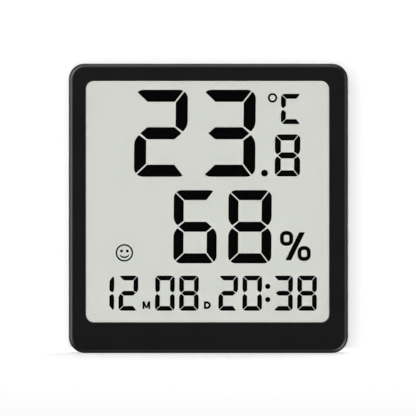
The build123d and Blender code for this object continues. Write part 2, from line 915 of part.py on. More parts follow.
def rear_cover_shell():
    """The back plate and side walls, with the lip that reaches into the front housing."""
    seam = front_depth + seam_gap
    shell = case_block() & slab(case_outline(-overrun), seam, case_depth + overrun)
    shell -= slab(case_outline(side_wall), seam - overrun, inner_back)
    lip = case_outline(lap_wall + case_clearance) - case_outline(side_wall)
    return shell + slab(lip, front_depth - seam_lap, seam + seam_lap)


def rear_cover_additions():
    """Everything that stands on the inside of the back plate."""
    half_length = bay_half_length + bay_wall
    half_height = bay_half_height + bay_wall
    low, high = door_range(tongue_reach + groove_clearance + bed_margin)
    bed_left = door_left - door_clearance - bed_margin
    box = (bay_centre_z - half_height, bay_centre_z + half_height)
    extra = block(-half_length, half_length, bay_front - bay_floor, inner_back, *box)
    extra += block(bed_left, inner_half_width + side_wall / 2, bed_back - door_bed, inner_back, low, high)
    for x, z in case_screw_places():
        extra += rod(x, z, case_post_radius, holder_boss_back + post_gap, inner_back)
    recess_half = recess_half_width + recess_side
    recess_block_top = recess_top + recess_floor
    extra += block(-recess_half, recess_half, recess_front, inner_back, side_wall / 2, recess_block_top)
    pocket_half = hang_radius + hang_pocket_clearance + hang_pocket_wall
    pocket_front = inner_back - hang_pocket_depth - hang_pocket_wall
    pocket_top = case_height - side_wall / 2
    extra += block(-pocket_half, pocket_half, pocket_front, inner_back, hang_z - pocket_half, pocket_top)
    outer_x, outer_z = shroud_half_sizes(shroud_wall)
    inner_x, inner_z = shroud_half_sizes(0)
    x, z = sensor_centre_x, sensor_centre_z
    shroud = rectangle(x - outer_x, x + outer_x, z - outer_z, z + outer_z)
    shroud -= rectangle(x - inner_x, x + inner_x, z - inner_z, z + inner_z)
    return extra + slab(shroud, board_back + shroud_gap, inner_back)


def shroud_half_sizes(margin):
    """Half of the sensor chamber's width and height, widened by a margin."""
    half_height = ((vent_count - 1) * vent_pitch + vent_width) / 2 + shroud_margin
    return vent_length / 2 + shroud_margin + margin, half_height + margin


def rear_cover_battery_cuts():
    low, high = door_range(door_clearance)
    left = door_left - door_clearance
    right = case_width / 2 + overrun
    bay = (bay_centre_z - bay_half_height, bay_centre_z + bay_half_height)
    cuts = block(-bay_half_length, bay_half_length, bay_front, case_depth + overrun, *bay)
    cuts += block(left, right, bed_back, case_depth + overrun, low, high)
    groove_low, groove_high = door_range(tongue_reach + groove_clearance)
    groove_back = door_front + tongue_thickness + groove_clearance
    cuts += block(left, right, bed_back, groove_back, groove_low, groove_high)
    for z, reach in zip((upper_cell_z, lower_cell_z), tail_reaches):
        cuts += tail_shape(z, reach, tail_slot_clearance)
    return cuts


def rear_cover_other_cuts():
    cuts = None
    for x, z in case_screw_places():
        back = case_depth + overrun
        hole = rod(x, z, case_screw_radius + case_hole_clearance, holder_boss_back - overrun, back)
        hole += rod(x, z, case_screw_head_radius + case_hole_clearance, case_seat_depth, back)
        cuts = hole if cuts is None else cuts + hole
    half = recess_half_width
    cuts += block(-half, half, recess_back, case_depth + overrun, -overrun, recess_top)
    pin_end = leg_pin_half_length() + pin_end_gap
    cuts += x_rod(-pin_end, pin_end, pivot_depth, pivot_height, pin_radius + case_clearance / 2)
    pocket_half = hang_radius + hang_pocket_clearance
    pocket_front = inner_back - hang_pocket_depth
    pocket = (hang_z - pocket_half, hang_slot_z + hang_radius)
    cuts += block(-pocket_half, pocket_half, pocket_front, inner_back, *pocket)
    cuts += rod(0, hang_z, hang_radius, inner_back - overrun, case_depth + overrun)
    cuts += rod(0, hang_slot_z, hang_slot_radius, inner_back - overrun, case_depth + overrun)
    slot = rectangle(-hang_slot_radius, hang_slot_radius, hang_z, hang_slot_z)
    cuts += slab(slot, inner_back - overrun, case_depth + overrun)
    for z in button_heights:
        width = button_width + 2 * button_clearance
        height = button_height + 2 * button_clearance
        hole = RectangleRounded(width, height, button_radius + button_clearance)
        cuts += slab(Pos(button_centre_x, z) * hole, inner_back - overrun, case_depth + overrun)
    for index in range(vent_count):
        z = sensor_centre_z + (index - (vent_count - 1) / 2) * vent_pitch
        slot = Pos(sensor_centre_x, z) * SlotOverall(vent_length, vent_width)
        cuts += slab(slot, inner_back - overrun, case_depth + overrun)
    return cuts


def rear_cover():
    cover = rear_cover_shell() + rear_cover_additions()
    cover -= rear_cover_battery_cuts()
    cover -= rear_cover_other_cuts()
    reach = bay_half_length - bay_rib_end_gap
    half = bay_rib_width / 2
    back = bay_front + bay_rib_height
    low = bay_centre_z - half
    return cover + block(-reach, reach, bay_front - bay_floor / 2, back, low, low + bay_rib_width)


def x_rod(left, right, depth, z, radius):
    """A round bar along X."""
    return Pos(left, depth_y(depth), z) * Rot(0, 90, 0) * extrude(Circle(radius), right - left)


def cell(z, direction):
    """One cell, whose positive end points along X in the given direction."""
    stack = cell_length + nub_length
    nub_end = contact_face_x - bay_end_gap / 2
    body = x_rod(nub_end - stack, nub_end - nub_length, cell_depth, 0, cell_radius)
    body = fillet(body.edges(), cell_edge_radius)
    body += x_rod(nub_end - nub_length, nub_end, cell_depth, 0, nub_radius)
    turned = body if direction > 0 else mirror(body, about=Plane.YZ)
    return Pos(0, 0, z) * turned


def contact_range():
    return bay_front + contact_edge_gap, cell_back - contact_edge_gap


def tail_shape(z, reach, clearance):
    """The flat tail that leads a contact out through the bay's right wall."""
    half = contact_thickness / 2 + clearance
    near = cell_depth - tail_width / 2 - clearance
    far = cell_depth + tail_width / 2 + clearance
    return block(contact_face_x, bay_half_length + reach + clearance, near, far, z - half, z + half)


def end_contact(z, reach):
    half = contact_width / 2
    near, far = contact_range()
    plate = block(contact_face_x, bay_half_length, near, far, z - half, z + half)
    return plate + tail_shape(z, reach, 0)


def bridge_contact():
    half = contact_width / 2
    near, far = contact_range()
    return block(-bay_half_length, -contact_face_x, near, far, lower_cell_z - half, upper_cell_z + half)


def biarc(start, start_way, end, end_way):
    """Two arcs that join two points with the given directions, and meet smoothly."""
    chord = end - start
    both = start_way + end_way
    spread = 2 * (1 - start_way.dot(end_way))
    along = chord.dot(both)
    length = (sqrt(along**2 + spread * chord.dot(chord)) - along) / spread
    middle = (start + start_way * length + end - end_way * length) * 0.5
    first = TangentArc(start, middle, tangent=start_way)
    return [first, TangentArc(middle, end, tangent=first % 1)]


def coil_point(turn):
    """A point of the cone-shaped coil on the X axis, with its direction."""
    share = turn / spring_turns
    radius = spring_large_radius + (spring_small_radius - spring_large_radius) * share
    rise = spring_length - 2 * spring_lead
    angle = 2 * pi * turn
    narrowing = (spring_small_radius - spring_large_radius) / (2 * pi * spring_turns)
    climb = rise / (2 * pi * spring_turns)
    point = Vector(spring_lead + rise * share, radius * cos(angle), radius * sin(angle))
    way_y = narrowing * cos(angle) - radius * sin(angle)
    way_z = narrowing * sin(angle) + radius * cos(angle)
    return point, Vector(climb, way_y, way_z).normalized()


def contact_spring():
    """A conical coil that starts square on its plate and ends square on the cell."""
    knots = [coil_point(index / arcs_per_turn) for index in range(arcs_per_turn * spring_turns + 1)]
    first = knots[0][0]
    last = knots[-1][0]
    axis = Vector(1, 0, 0)
    foot = Vector(0, first.Y, first.Z - spring_lead)
    head = Vector(spring_length, last.Y, last.Z + spring_lead)
    lift = axis * spring_wire
    edges = [Line(foot, foot + lift)]
    places = [(foot + lift, axis)] + knots + [(head - lift, axis)]
    for (start, start_way), (end, end_way) in zip(places, places[1:]):
        edges += biarc(start, start_way, end, end_way)
    edges.append(Line(head - lift, head))
    path = Wire(edges)
    profile = Plane(origin=foot, z_dir=axis) * Circle(spring_wire / 2)
    print("contact spring: least gap between its turns", round(least_gap(path), 3), "mm")
    return sweep(profile, path=path)


def least_gap(path):
    """The least gap between two stretches of the coil's wire that aren't neighbours."""
    count = steps_per_turn * spring_turns
    points = [path.position_at(index / count) for index in range(count + 1)]
    apart = int(count / spring_turns / 2)
    gaps = []
    for index, point in enumerate(points):
        gaps += [(point - other).length for other in points[index + apart:]]
    return min(gaps) - spring_wire


def bridge_spring():
    return Pos(-contact_face_x, depth_y(cell_depth), upper_cell_z) * contact_spring()


def negative_spring():
    turned = mirror(contact_spring(), about=Plane.YZ)
    return Pos(contact_face_x, depth_y(cell_depth), lower_cell_z) * turned


def battery_wire(start_z, reach):
    """A wire from a contact's tail, down beside the bay and forward to the board."""
    x = bay_half_length + reach - wire_inset
    foot_depth = cell_depth - wire_foot_setback
    pad_z = board_top - wire_pad_drop
    top = start_z - contact_thickness / 2
    middle = (top + pad_z) / 2
    spots = [(cell_depth, top), (cell_depth + wire_slack, middle), (foot_depth, pad_z), (board_back, pad_z)]
    points = [Vector(x, depth_y(depth), z) for depth, z in spots]
    radii = []
    for before, here, after in zip(points, points[1:], points[2:]):
        turn = radians((here - before).get_angle(after - here))
        shorter = min((here - before).length, (after - here).length)
        radii.append(wire_arc_share * shorter * cos(turn / 2) / sin(turn / 2))
    print("battery wire radii", [round(radius, 2) for radius in radii], "mm")
    path = FilletPolyline(*points, radius=radii)
    start = Plane(origin=points[0], z_dir=path % 0)
    return sweep(start * Circle(wire_radius), path=path)


def battery_door():
    low, high = door_range(0)
    right = case_width / 2 + overrun
    door = case_block() & block(door_left, right, door_front, case_depth + overrun, low, high)
    tongue_low, tongue_high = door_range(tongue_reach)
    tongue_right = case_width / 2 - tongue_end_setback
    tongue_back = door_front + tongue_thickness
    door += block(door_left, tongue_right, door_front, tongue_back, tongue_low, tongue_high)
    for index in range(grip_count):
        left = case_width / 2 - grip_end_gap - index * grip_pitch - grip_width
        grip = (bay_centre_z - grip_length / 2, bay_centre_z + grip_length / 2)
        door -= block(left, left + grip_width, case_depth - grip_depth, case_depth + overrun, *grip)
    return door - door_pad_block(door_front - overrun)


def door_pad_block(near):
    half_length = pad_length / 2
    half_width = pad_width / 2
    far = door_front + pad_thickness
    return block(-half_length, half_length, near, far, bay_centre_z - half_width, bay_centre_z + half_width)


def leg_pin_half_length():
    return recess_half_width + pin_hold


def stand_leg():
    """The leg, with a barrel round its pin and a heel that stops it when it is open."""
    half = leg_width / 2
    bottom = leg_foot_gap + foot_pad_height
    plate = block(-half, half, leg_front, leg_back, bottom, pivot_height)
    corners = plate.edges().filter_by(Axis.Y).group_by(Axis.Z)[0]
    plate = fillet(corners, leg_corner_radius)
    plate += block(-half, half, leg_front, leg_back, pivot_height, pivot_height + heel_length)
    plate += x_rod(-half, half, pivot_depth, pivot_height, barrel_radius)
    panel_height = pivot_height - bottom - barrel_radius - 2 * leg_panel_inset
    panel = RectangleRounded(leg_width - 2 * leg_panel_inset, panel_height, leg_panel_radius)
    panel = Pos(0, bottom + leg_panel_inset + panel_height / 2) * panel
    plate -= slab(panel, leg_back - leg_panel_depth, leg_back + overrun)
    bore = pin_radius + pin_clearance
    return plate - x_rod(-half - overrun, half + overrun, pivot_depth, pivot_height, bore)


def stand_pin():
    half = leg_pin_half_length()
    return x_rod(-half, half, pivot_depth, pivot_height, pin_radius)


def stand_foot_pad():
    half = leg_width / 2 - foot_pad_inset
    return block(-half, half, leg_front, leg_back, leg_foot_gap, leg_foot_gap + foot_pad_height)


nodes = {
    "front_housing": front_housing(),
    "lens_tape": lens_tape(),
    "display_lens": display_lens(),
    "lcd_front_polarizer": film(polarizer_front, polarizer_thickness),
    "lcd_front_glass": lcd_front_glass(),
    "lcd_cell_seal": lcd_cell_seal(),
    "segments_temperature": segments_temperature(),
    "segments_humidity": segments_humidity(),
    "segments_calendar": segments_calendar(),
    "segments_clock": segments_clock(),
    "segments_comfort_icon": segments_comfort_icon(),
    "lcd_rear_glass": lcd_rear_glass(),
    "lcd_reflector": film(rear_glass_back, reflector_thickness),
    "contact_strip": contact_strip(),
    "display_holder": display_holder(),
    "main_board": main_board(),
    "board_screws": board_screws(),
    "controller_chip": controller_chip(),
    "clock_crystal": clock_crystal(),
    "filter_capacitor": filter_capacitor(),
    "board_passives": board_passives(),
    "sensor_chip": sensor_chip(),
    "switch_bodies": switch_bodies(),
    "mode_switch_plunger": switch_plunger(button_heights[0]),
    "up_switch_plunger": switch_plunger(button_heights[1]),
    "down_switch_plunger": switch_plunger(button_heights[2]),
    "mode_button": button(button_heights[0], clock_mark(button_heights[0])),
    "up_button": button(button_heights[1], arrow_mark(button_heights[1], 1)),
    "down_button": button(button_heights[2], arrow_mark(button_heights[2], -1)),
    "rear_cover": rear_cover(),
    "case_screws": case_screws(),
    "battery_upper": cell(upper_cell_z, 1),
    "battery_lower": cell(lower_cell_z, -1),
    "bridge_contact": bridge_contact(),
    "bridge_spring": bridge_spring(),
    "positive_contact": end_contact(upper_cell_z, tail_reaches[0]),
    "negative_contact": end_contact(lower_cell_z, tail_reaches[1]),
    "negative_spring": negative_spring(),
    "battery_wire_positive": battery_wire(upper_cell_z, tail_reaches[0]),
    "battery_wire_negative": battery_wire(lower_cell_z, tail_reaches[1]),
    "battery_door": battery_door(),
    "door_foam_pad": door_pad_block(door_front),
    "stand_leg": stand_leg(),
    "stand_pin": stand_pin(),
    "stand_foot_pad": stand_foot_pad(),
}

for name, shape in nodes.items():
    export_step(shape, f"parts/{name}.step")
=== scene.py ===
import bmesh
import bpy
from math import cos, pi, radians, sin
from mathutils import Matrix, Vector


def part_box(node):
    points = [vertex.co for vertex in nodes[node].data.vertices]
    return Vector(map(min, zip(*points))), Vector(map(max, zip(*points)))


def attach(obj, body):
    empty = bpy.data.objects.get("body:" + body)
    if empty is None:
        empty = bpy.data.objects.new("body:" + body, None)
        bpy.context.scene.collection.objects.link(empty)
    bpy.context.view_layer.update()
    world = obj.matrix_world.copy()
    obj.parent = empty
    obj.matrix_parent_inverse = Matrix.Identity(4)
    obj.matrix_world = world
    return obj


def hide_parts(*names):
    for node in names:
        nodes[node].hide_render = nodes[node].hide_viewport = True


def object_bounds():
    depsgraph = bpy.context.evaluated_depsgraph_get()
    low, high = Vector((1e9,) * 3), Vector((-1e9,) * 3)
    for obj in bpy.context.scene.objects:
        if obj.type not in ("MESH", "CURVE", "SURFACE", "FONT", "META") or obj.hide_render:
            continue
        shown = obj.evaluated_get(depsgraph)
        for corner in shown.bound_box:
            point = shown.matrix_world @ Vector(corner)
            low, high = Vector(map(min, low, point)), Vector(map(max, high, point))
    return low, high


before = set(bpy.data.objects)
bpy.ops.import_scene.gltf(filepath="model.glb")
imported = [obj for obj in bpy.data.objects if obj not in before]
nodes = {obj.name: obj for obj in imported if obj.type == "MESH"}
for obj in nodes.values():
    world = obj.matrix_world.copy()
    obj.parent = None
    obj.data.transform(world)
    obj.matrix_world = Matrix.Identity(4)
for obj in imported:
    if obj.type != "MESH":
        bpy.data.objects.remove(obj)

# %% [markdown]
# This lesson dresses a battery thermometer with a segment display. Its solids arrive as a fixed frame: each
# one already has its size and place, in metres, with X to the right, Y from the display to the back and Z
# up. Nothing below moves them. What follows gives every piece its surface, adds the small forms that the
# solids leave out, and sets up the light and the camera.

MM = 0.001
cad_low, cad_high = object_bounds()
print("nodes in the frame:", len(nodes))
print("outer size in mm:", [round(side / MM, 2) for side in cad_high - cad_low])

# %% [markdown]
# The picture to match was taken straight on with a long lens, so no side of the case shows. A camera far
# away with a narrow field gives that. An orthographic camera would too, but then other views could not step
# back from the object to take in an open door. The width of the field sets the camera's distance. It is
# measured where the case is widest, just behind its rounded front edge.

# %% Camera
FIELD_WIDTH = 113.24 * MM
EDGE_DEPTH = 1.3 * MM
FIELD_CENTRE = Vector((-0.11 * MM, cad_low.y + EDGE_DEPTH, 39.53 * MM))
LENS = 600.0
SENSOR = 36.0
camera_distance = FIELD_WIDTH * LENS / SENSOR
camera_data = bpy.data.cameras.new("camera")
camera_data.lens = LENS
camera_data.sensor_width = SENSOR
camera = bpy.data.objects.new("camera", camera_data)
camera.location = FIELD_CENTRE - Vector((0, camera_distance, 0))
camera.rotation_euler = (pi / 2, 0, 0)
bpy.context.scene.collection.objects.link(camera)
bpy.context.scene.camera = camera
bpy.context.scene.view_settings.view_transform = "Standard"
print("camera distance in mm:", round(camera_distance / MM))

# %% [markdown]
# A shader is a graph of nodes. These helpers keep the graphs short to read. They add a node with its
# settings, join two sockets, fill inputs from plain values or other sockets, and make a material with its
# main shader.

# %% Helpers for node graphs


def add_node(tree, kind, **settings):
    node = tree.nodes.new(kind)
    for name, value in settings.items():
        setattr(node, name, value)
    return node


def join(tree, start, end):
    tree.links.new(start, end)


def feed(tree, socket, value):
    """Set a socket from a plain value or another socket. None leaves it as it is."""
    if isinstance(value, bpy.types.NodeSocket):
        join(tree, value, socket)
    elif value is not None:
        socket.default_value = value


def fill(tree, node, values):
    for name, value in values.items():
        feed(tree, node.inputs[name], value)


def math_node(tree, operation, first, second=None):
    node = add_node(tree, "ShaderNodeMath", operation=operation)
    fill(tree, node, {0: first, 1: second})
    return node.outputs[0]


def new_material(name, colour, roughness, metallic=0.0):
    """A material with one main shader. The colour is linear red, green and blue."""
    material = bpy.data.materials.new(name)
    material.use_nodes = True
    tree = material.node_tree
    shader = tree.nodes["Principled BSDF"]
    fill(tree, shader, {"Base Color": (*colour, 1.0), "Roughness": roughness, "Metallic": metallic})
    material.diffuse_color = (*colour, 1.0)
    return material, tree, shader


def own_coordinates(tree):
    """The piece's own coordinates, in metres, so that a pattern moves with the piece."""
    return add_node(tree, "ShaderNodeTexCoord").outputs["Object"]


def blend_colours(tree, factor, low, high):
    """A colour between two, by a factor socket. Each is three linear numbers or a socket."""
    mix = add_node(tree, "ShaderNodeMix", data_type="RGBA")
    low, high = ((*colour, 1) if isinstance(colour, tuple) else colour for colour in (low, high))
    fill(tree, mix, {"Factor": factor, "A": low, "B": high})
    return mix.outputs["Result"]


def add_object(name, data):
    item = bpy.data.objects.new(name, data)
    bpy.context.scene.collection.objects.link(item)
    return item


print("helpers ready")

# %% [markdown]
# The room is plain: a white floor, a white wall behind the object, and a pale sky that is brighter behind.
# The wall is there only to catch a faint shadow, so it is seen by the camera alone, and only from straight
# in front. Both surfaces glow a little for the camera, so that they reach full white without more light on
# the object. A lamp could do the same, but then the object would be too bright.

# %% Floor and wall
WALL_PLACE = 60 * MM
ROOM_HALF = 1.5
PAPER_WHITE = 0.9
FLOOR_GLOW = 0.60
WALL_GLOW = 0.265
STRAIGHT_ON = cos(radians(8))


def white_surface(name, glow, one_sided):
    material = bpy.data.materials.new(name)
    material.use_nodes = True
    tree = material.node_tree
    tree.nodes.clear()
    output = add_node(tree, "ShaderNodeOutputMaterial")
    diffuse = add_node(tree, "ShaderNodeBsdfDiffuse")
    diffuse.inputs["Color"].default_value = (PAPER_WHITE, PAPER_WHITE, PAPER_WHITE, 1)
    light = add_node(tree, "ShaderNodeEmission")
    light.inputs["Color"].default_value = (1, 1, 1, 1)
    path = add_node(tree, "ShaderNodeLightPath")
    seen = math_node(tree, "MAXIMUM", path.outputs["Is Camera Ray"], path.outputs["Is Glossy Ray"])
    seen = math_node(tree, "MAXIMUM", seen, path.outputs["Is Transmission Ray"])
    join(tree, math_node(tree, "MULTIPLY", seen, glow), light.inputs["Strength"])
    glowing = add_node(tree, "ShaderNodeAddShader")
    fill(tree, glowing, {0: diffuse.outputs[0], 1: light.outputs[0]})
    surface = glowing.outputs[0]
    if one_sided:
        geometry = add_node(tree, "ShaderNodeNewGeometry")
        towards = add_node(tree, "ShaderNodeVectorMath", operation="DOT_PRODUCT")
        fill(tree, towards, {0: geometry.outputs["Incoming"], 1: geometry.outputs["Normal"]})
        aslant = math_node(tree, "LESS_THAN", towards.outputs["Value"], STRAIGHT_ON)
        mix = add_node(tree, "ShaderNodeMixShader")
        clear = add_node(tree, "ShaderNodeBsdfTransparent")
        hidden = math_node(tree, "MAXIMUM", geometry.outputs["Backfacing"], aslant)
        fill(tree, mix, {"Fac": hidden, 1: surface, 2: clear.outputs[0]})
        surface = mix.outputs[0]
    join(tree, surface, output.inputs["Surface"])
    return material


def flat_sheet(name, corners, material):
    mesh = bpy.data.meshes.new(name)
    mesh.from_pydata(corners, [], [(0, 1, 2, 3)])
    mesh.materials.append(material)
    sheet = add_object(name, mesh)
    sheet.visible_shadow = False
    sheet.visible_diffuse = False
    sheet.visible_glossy = False
    return sheet


far = ROOM_HALF
floor = flat_sheet("floor", [(-far, -far, 0), (far, -far, 0), (far, far, 0), (-far, far, 0)],
                   white_surface("floor_white", FLOOR_GLOW, False))
wall = flat_sheet("wall", [(side * far, WALL_PLACE, height)
                           for side, height in ((-1, 0), (1, 0), (1, far), (-1, far))],
                  white_surface("wall_white", WALL_GLOW, True))
wall.visible_transmission = False
print("wall faces", tuple(round(value) for value in wall.data.polygons[0].normal))

# %% [markdown]
# Out in the open the sky would fill every reflection. Here it is dark in front, so that the lens and the
# black face stay deep, and bright behind, where the floor and the back of the case need it. The camera
# itself sees plain white, so the object stands before an empty background from every side.

# %% Sky
SKY_FRONT = 0.05
SKY_BACK = 0.62
SKY_TURN = 0.7
world = bpy.data.worlds.new("sky")
bpy.context.scene.world = world
world.use_nodes = True
sky = world.node_tree
background = sky.nodes["Background"]
direction = add_node(sky, "ShaderNodeTexCoord")
parts = add_node(sky, "ShaderNodeSeparateXYZ")
join(sky, direction.outputs["Generated"], parts.inputs[0])
level = add_node(sky, "ShaderNodeMapRange", interpolation_type="SMOOTHSTEP")
fill(sky, level, {"Value": parts.outputs["Y"], "From Min": 0.0, "From Max": SKY_TURN, "To Min": SKY_FRONT,
                  "To Max": SKY_BACK})
ray = add_node(sky, "ShaderNodeLightPath")
bright = math_node(sky, "MAXIMUM", level.outputs[0], ray.outputs["Is Camera Ray"])
fill(sky, background, {"Strength": bright, "Color": (1, 1, 1, 1)})
print("sky levels, front and back:", SKY_FRONT, SKY_BACK)

# %% [markdown]
# Two lamps by the camera light the display evenly. The larger one stands a little to the left and higher,
# which pushes a narrow soft shadow out to the right and below. Both are kept out of reflections, as a
# photographer does with a polarizer, so the black face stays black. Six soft boxes around the front draw the
# bright lines on the rounded edges and corners. They light no surface, only reflections, so each line can be
# set by itself. Two more, above and behind, light the top and the back.

# %% Lamps
CASE_MIDDLE = (0, 0, 39.5 * MM)
LAMP_BEHIND_CAMERA = 0.02
CAMERA_LAMP_SIZE = 0.02
CAMERA_LAMP_LEVEL = 0.412
KEY_SIZE = 0.187
KEY_SHIFT = 0.033
KEY_LEVEL = 0.455
# place, width, height and radiance
EDGE_BOXES = {
    "left_box": ((-0.50, -0.28, 0.10), 0.50, 0.70, 3.4),
    "top_box": ((-0.04, -0.27, 0.50), 0.62, 0.46, 2.1),
    "right_box": ((0.50, -0.26, 0.06), 0.46, 0.46, 1.3),
    "low_box": ((0.0, -0.30, -0.44), 0.40, 0.30, 0.6),
    "corner_box": ((0.36, -0.29, -0.30), 0.44, 0.44, 4.4),
    "upper_corner_box": ((-0.36, -0.28, 0.38), 0.40, 0.40, 3.2),
}


def soft_box(name, place, width, height, radiance, gloss=True, diffuse=True):
    """A rectangular lamp that looks at the case. A radiance of 1 looks as bright as white paper."""
    data = bpy.data.lights.new(name, "AREA")
    data.shape = "RECTANGLE"
    data.size = width
    data.size_y = height
    data.energy = radiance * pi * width * height
    lamp = add_object(name, data)
    lamp.location = place
    lamp.rotation_euler = (Vector(CASE_MIDDLE) - Vector(place)).to_track_quat("-Z", "Y").to_euler()
    lamp.visible_glossy = gloss
    lamp.visible_diffuse = diffuse
    lamp.visible_camera = False
    return lamp


def lamp_radiance(level, distance, size):
    """The radiance at which a square lamp lights white paper to a level, where 1 is white."""
    return level * pi * distance**2 / size**2


lamp_y = camera.location.y - LAMP_BEHIND_CAMERA
lamp_reach = FIELD_CENTRE.y - lamp_y
soft_box("camera_lamp", (FIELD_CENTRE.x, lamp_y, FIELD_CENTRE.z), CAMERA_LAMP_SIZE, CAMERA_LAMP_SIZE,
         lamp_radiance(CAMERA_LAMP_LEVEL, lamp_reach, CAMERA_LAMP_SIZE), gloss=False)
soft_box("key_lamp", (FIELD_CENTRE.x - KEY_SHIFT, lamp_y, FIELD_CENTRE.z + KEY_SHIFT), KEY_SIZE, KEY_SIZE,
         lamp_radiance(KEY_LEVEL, lamp_reach, KEY_SIZE), gloss=False)
for name, settings in EDGE_BOXES.items():
    soft_box(name, *settings, diffuse=False)
soft_box("roof_box", (0.0, 0.25, 0.60), 0.50, 0.50, 1.2, gloss=False)
soft_box("back_box", (0.10, 0.80, 0.62), 0.50, 0.75, 3.6)

# %% [markdown]
# Moulded plastic is never perfectly smooth: the tool that shapes it is spark-eroded to a fine even grain. An
# image could carry that grain, but a procedural noise needs no file and keeps its scale on every piece. This
# group turns noise on the piece's own coordinates into a small bump and a slightly uneven roughness.

# %% Grain group
FLOAT = "NodeSocketFloat"
VECTOR = "NodeSocketVector"
BROAD_SCALE = 90.0
GRAIN_HEIGHT = 0.02 * MM


def make_group(name, inputs, outputs):
    """An empty shader group with named inputs and outputs."""
    group = bpy.data.node_groups.new(name, "ShaderNodeTree")
    for label, kind, value in inputs:
        socket = group.interface.new_socket(label, in_out="INPUT", socket_type=kind)
        if value is not None:
            socket.default_value = value
    for label, kind in outputs:
        group.interface.new_socket(label, in_out="OUTPUT", socket_type=kind)
    return group, group.nodes.new("NodeGroupInput"), group.nodes.new("NodeGroupOutput")


def noise(tree, vector, scale, detail):
    node = add_node(tree, "ShaderNodeTexNoise")
    fill(tree, node, {"Vector": vector, "Scale": scale, "Detail": detail})
    return node.outputs[0]


grain, grain_in, grain_out = make_group(
    "moulded_grain",
    [("Vector", VECTOR, None), ("Grains per Metre", FLOAT, 6000.0), ("Depth", FLOAT, 0.3),
     ("Roughness", FLOAT, 0.45), ("Spread", FLOAT, 0.06)],
    [("Roughness", FLOAT), ("Normal", VECTOR), ("Shade", FLOAT)])
fine = noise(grain, grain_in.outputs["Vector"], grain_in.outputs["Grains per Metre"], 2.0)
broad = noise(grain, grain_in.outputs["Vector"], BROAD_SCALE, 3.0)
bump = add_node(grain, "ShaderNodeBump")
fill(grain, bump, {"Strength": grain_in.outputs["Depth"], "Distance": GRAIN_HEIGHT, "Height": fine})
centred = math_node(grain, "SUBTRACT", broad, 0.5)
uneven = math_node(grain, "MULTIPLY", centred, grain_in.outputs["Spread"])
fill(grain, grain_out, {"Roughness": math_node(grain, "ADD", uneven, grain_in.outputs["Roughness"]),
                        "Normal": bump.outputs[0], "Shade": fine})
print("grain group:", len(grain.nodes), "nodes")

# %% [markdown]
# Hands and cloth polish the rounded edges of a black case until they shine a little more than its faces.
# Edges can be found with a bevel shader, but its samples are costly. The pieces here are boxes with rounded
# edges, so a point is near an edge when it is close to two faces at once: the middle one of its three
# distances to the faces is small.

# %% Edge group
SCRATCH_SCALE = 700.0
BREAK_UP = 0.4
edge, edge_in, edge_out = make_group(
    "edge_rub",
    [("Vector", VECTOR, None), ("Centre", VECTOR, None), ("Half Size", VECTOR, None),
     ("Width", FLOAT, 1.0 * MM), ("Break Up", FLOAT, BREAK_UP)],
    [("Mask", FLOAT)])
offset = add_node(edge, "ShaderNodeVectorMath", operation="SUBTRACT")
fill(edge, offset, {0: edge_in.outputs["Vector"], 1: edge_in.outputs["Centre"]})
folded = add_node(edge, "ShaderNodeVectorMath", operation="ABSOLUTE")
join(edge, offset.outputs[0], folded.inputs[0])
room = add_node(edge, "ShaderNodeVectorMath", operation="SUBTRACT")
fill(edge, room, {0: edge_in.outputs["Half Size"], 1: folded.outputs[0]})
sides = add_node(edge, "ShaderNodeSeparateXYZ")
join(edge, room.outputs[0], sides.inputs[0])
smaller = math_node(edge, "MINIMUM", sides.outputs[0], sides.outputs[1])
larger = math_node(edge, "MAXIMUM", sides.outputs[0], sides.outputs[1])
middle = math_node(edge, "MAXIMUM", smaller, math_node(edge, "MINIMUM", larger, sides.outputs[2]))
near = math_node(edge, "DIVIDE", middle, edge_in.outputs["Width"])
scratches = noise(edge, edge_in.outputs["Vector"], SCRATCH_SCALE, 4.0)
loss = math_node(edge, "MULTIPLY", scratches, edge_in.outputs["Break Up"])
mask = add_node(edge, "ShaderNodeMath", operation="SUBTRACT", use_clamp=True)
fill(edge, mask, {0: 1.0, 1: math_node(edge, "ADD", near, loss)})
join(edge, mask.outputs[0], edge_out.inputs["Mask"])
print("edge group:", len(edge.nodes), "nodes")

# %% [markdown]
# Wherever a finish is used, its material is the same graph with other values. The next helpers place the
# groups in a material and read the piece's own coordinates, so the pattern stays on the piece when it moves.

# %% Placing the groups


def place_grain(tree, shader, scale, depth, roughness, spread=0.06):
    """Give the shader its grain, and hand back the group for its shade."""
    group = add_node(tree, "ShaderNodeGroup", node_tree=grain)
    fill(tree, group, {"Vector": own_coordinates(tree), "Grains per Metre": scale, "Depth": depth,
                       "Roughness": roughness, "Spread": spread})
    fill(tree, shader, {"Normal": group.outputs["Normal"], "Roughness": group.outputs["Roughness"]})
    return group


def place_edges(tree, low, high, width):
    group = add_node(tree, "ShaderNodeGroup", node_tree=edge)
    fill(tree, group, {"Vector": own_coordinates(tree), "Centre": (low + high) / 2,
                       "Half Size": (high - low) / 2, "Width": width, "Break Up": BREAK_UP})
    return group.outputs["Mask"]


def dress(material, *names):
    """Give CAD nodes a material through their slots."""
    for name in names:
        mesh = nodes[name].data
        mesh.materials.clear()
        mesh.materials.append(material)


print("groups can be placed")

# %% [markdown]
# The case is a satin black plastic. Pure black would lose its shape, so the colour is a dark grey that the
# fine grain lifts a little, and the rubbed edges are smoother and a shade lighter than the faces. The back
# is rougher and greyer than the front.

# %% Black plastics
CASE_BLACK = (0.0043, 0.0043, 0.0045)
COVER_BLACK = (0.0085, 0.0085, 0.0088)
CASE_GRAINS = 7000.0
CASE_SPECULAR = 0.42
RUBBED_WIDTH = 1.3 * MM
RUBBED_LIFT = 1.5
RUBBED_POLISH = 0.03


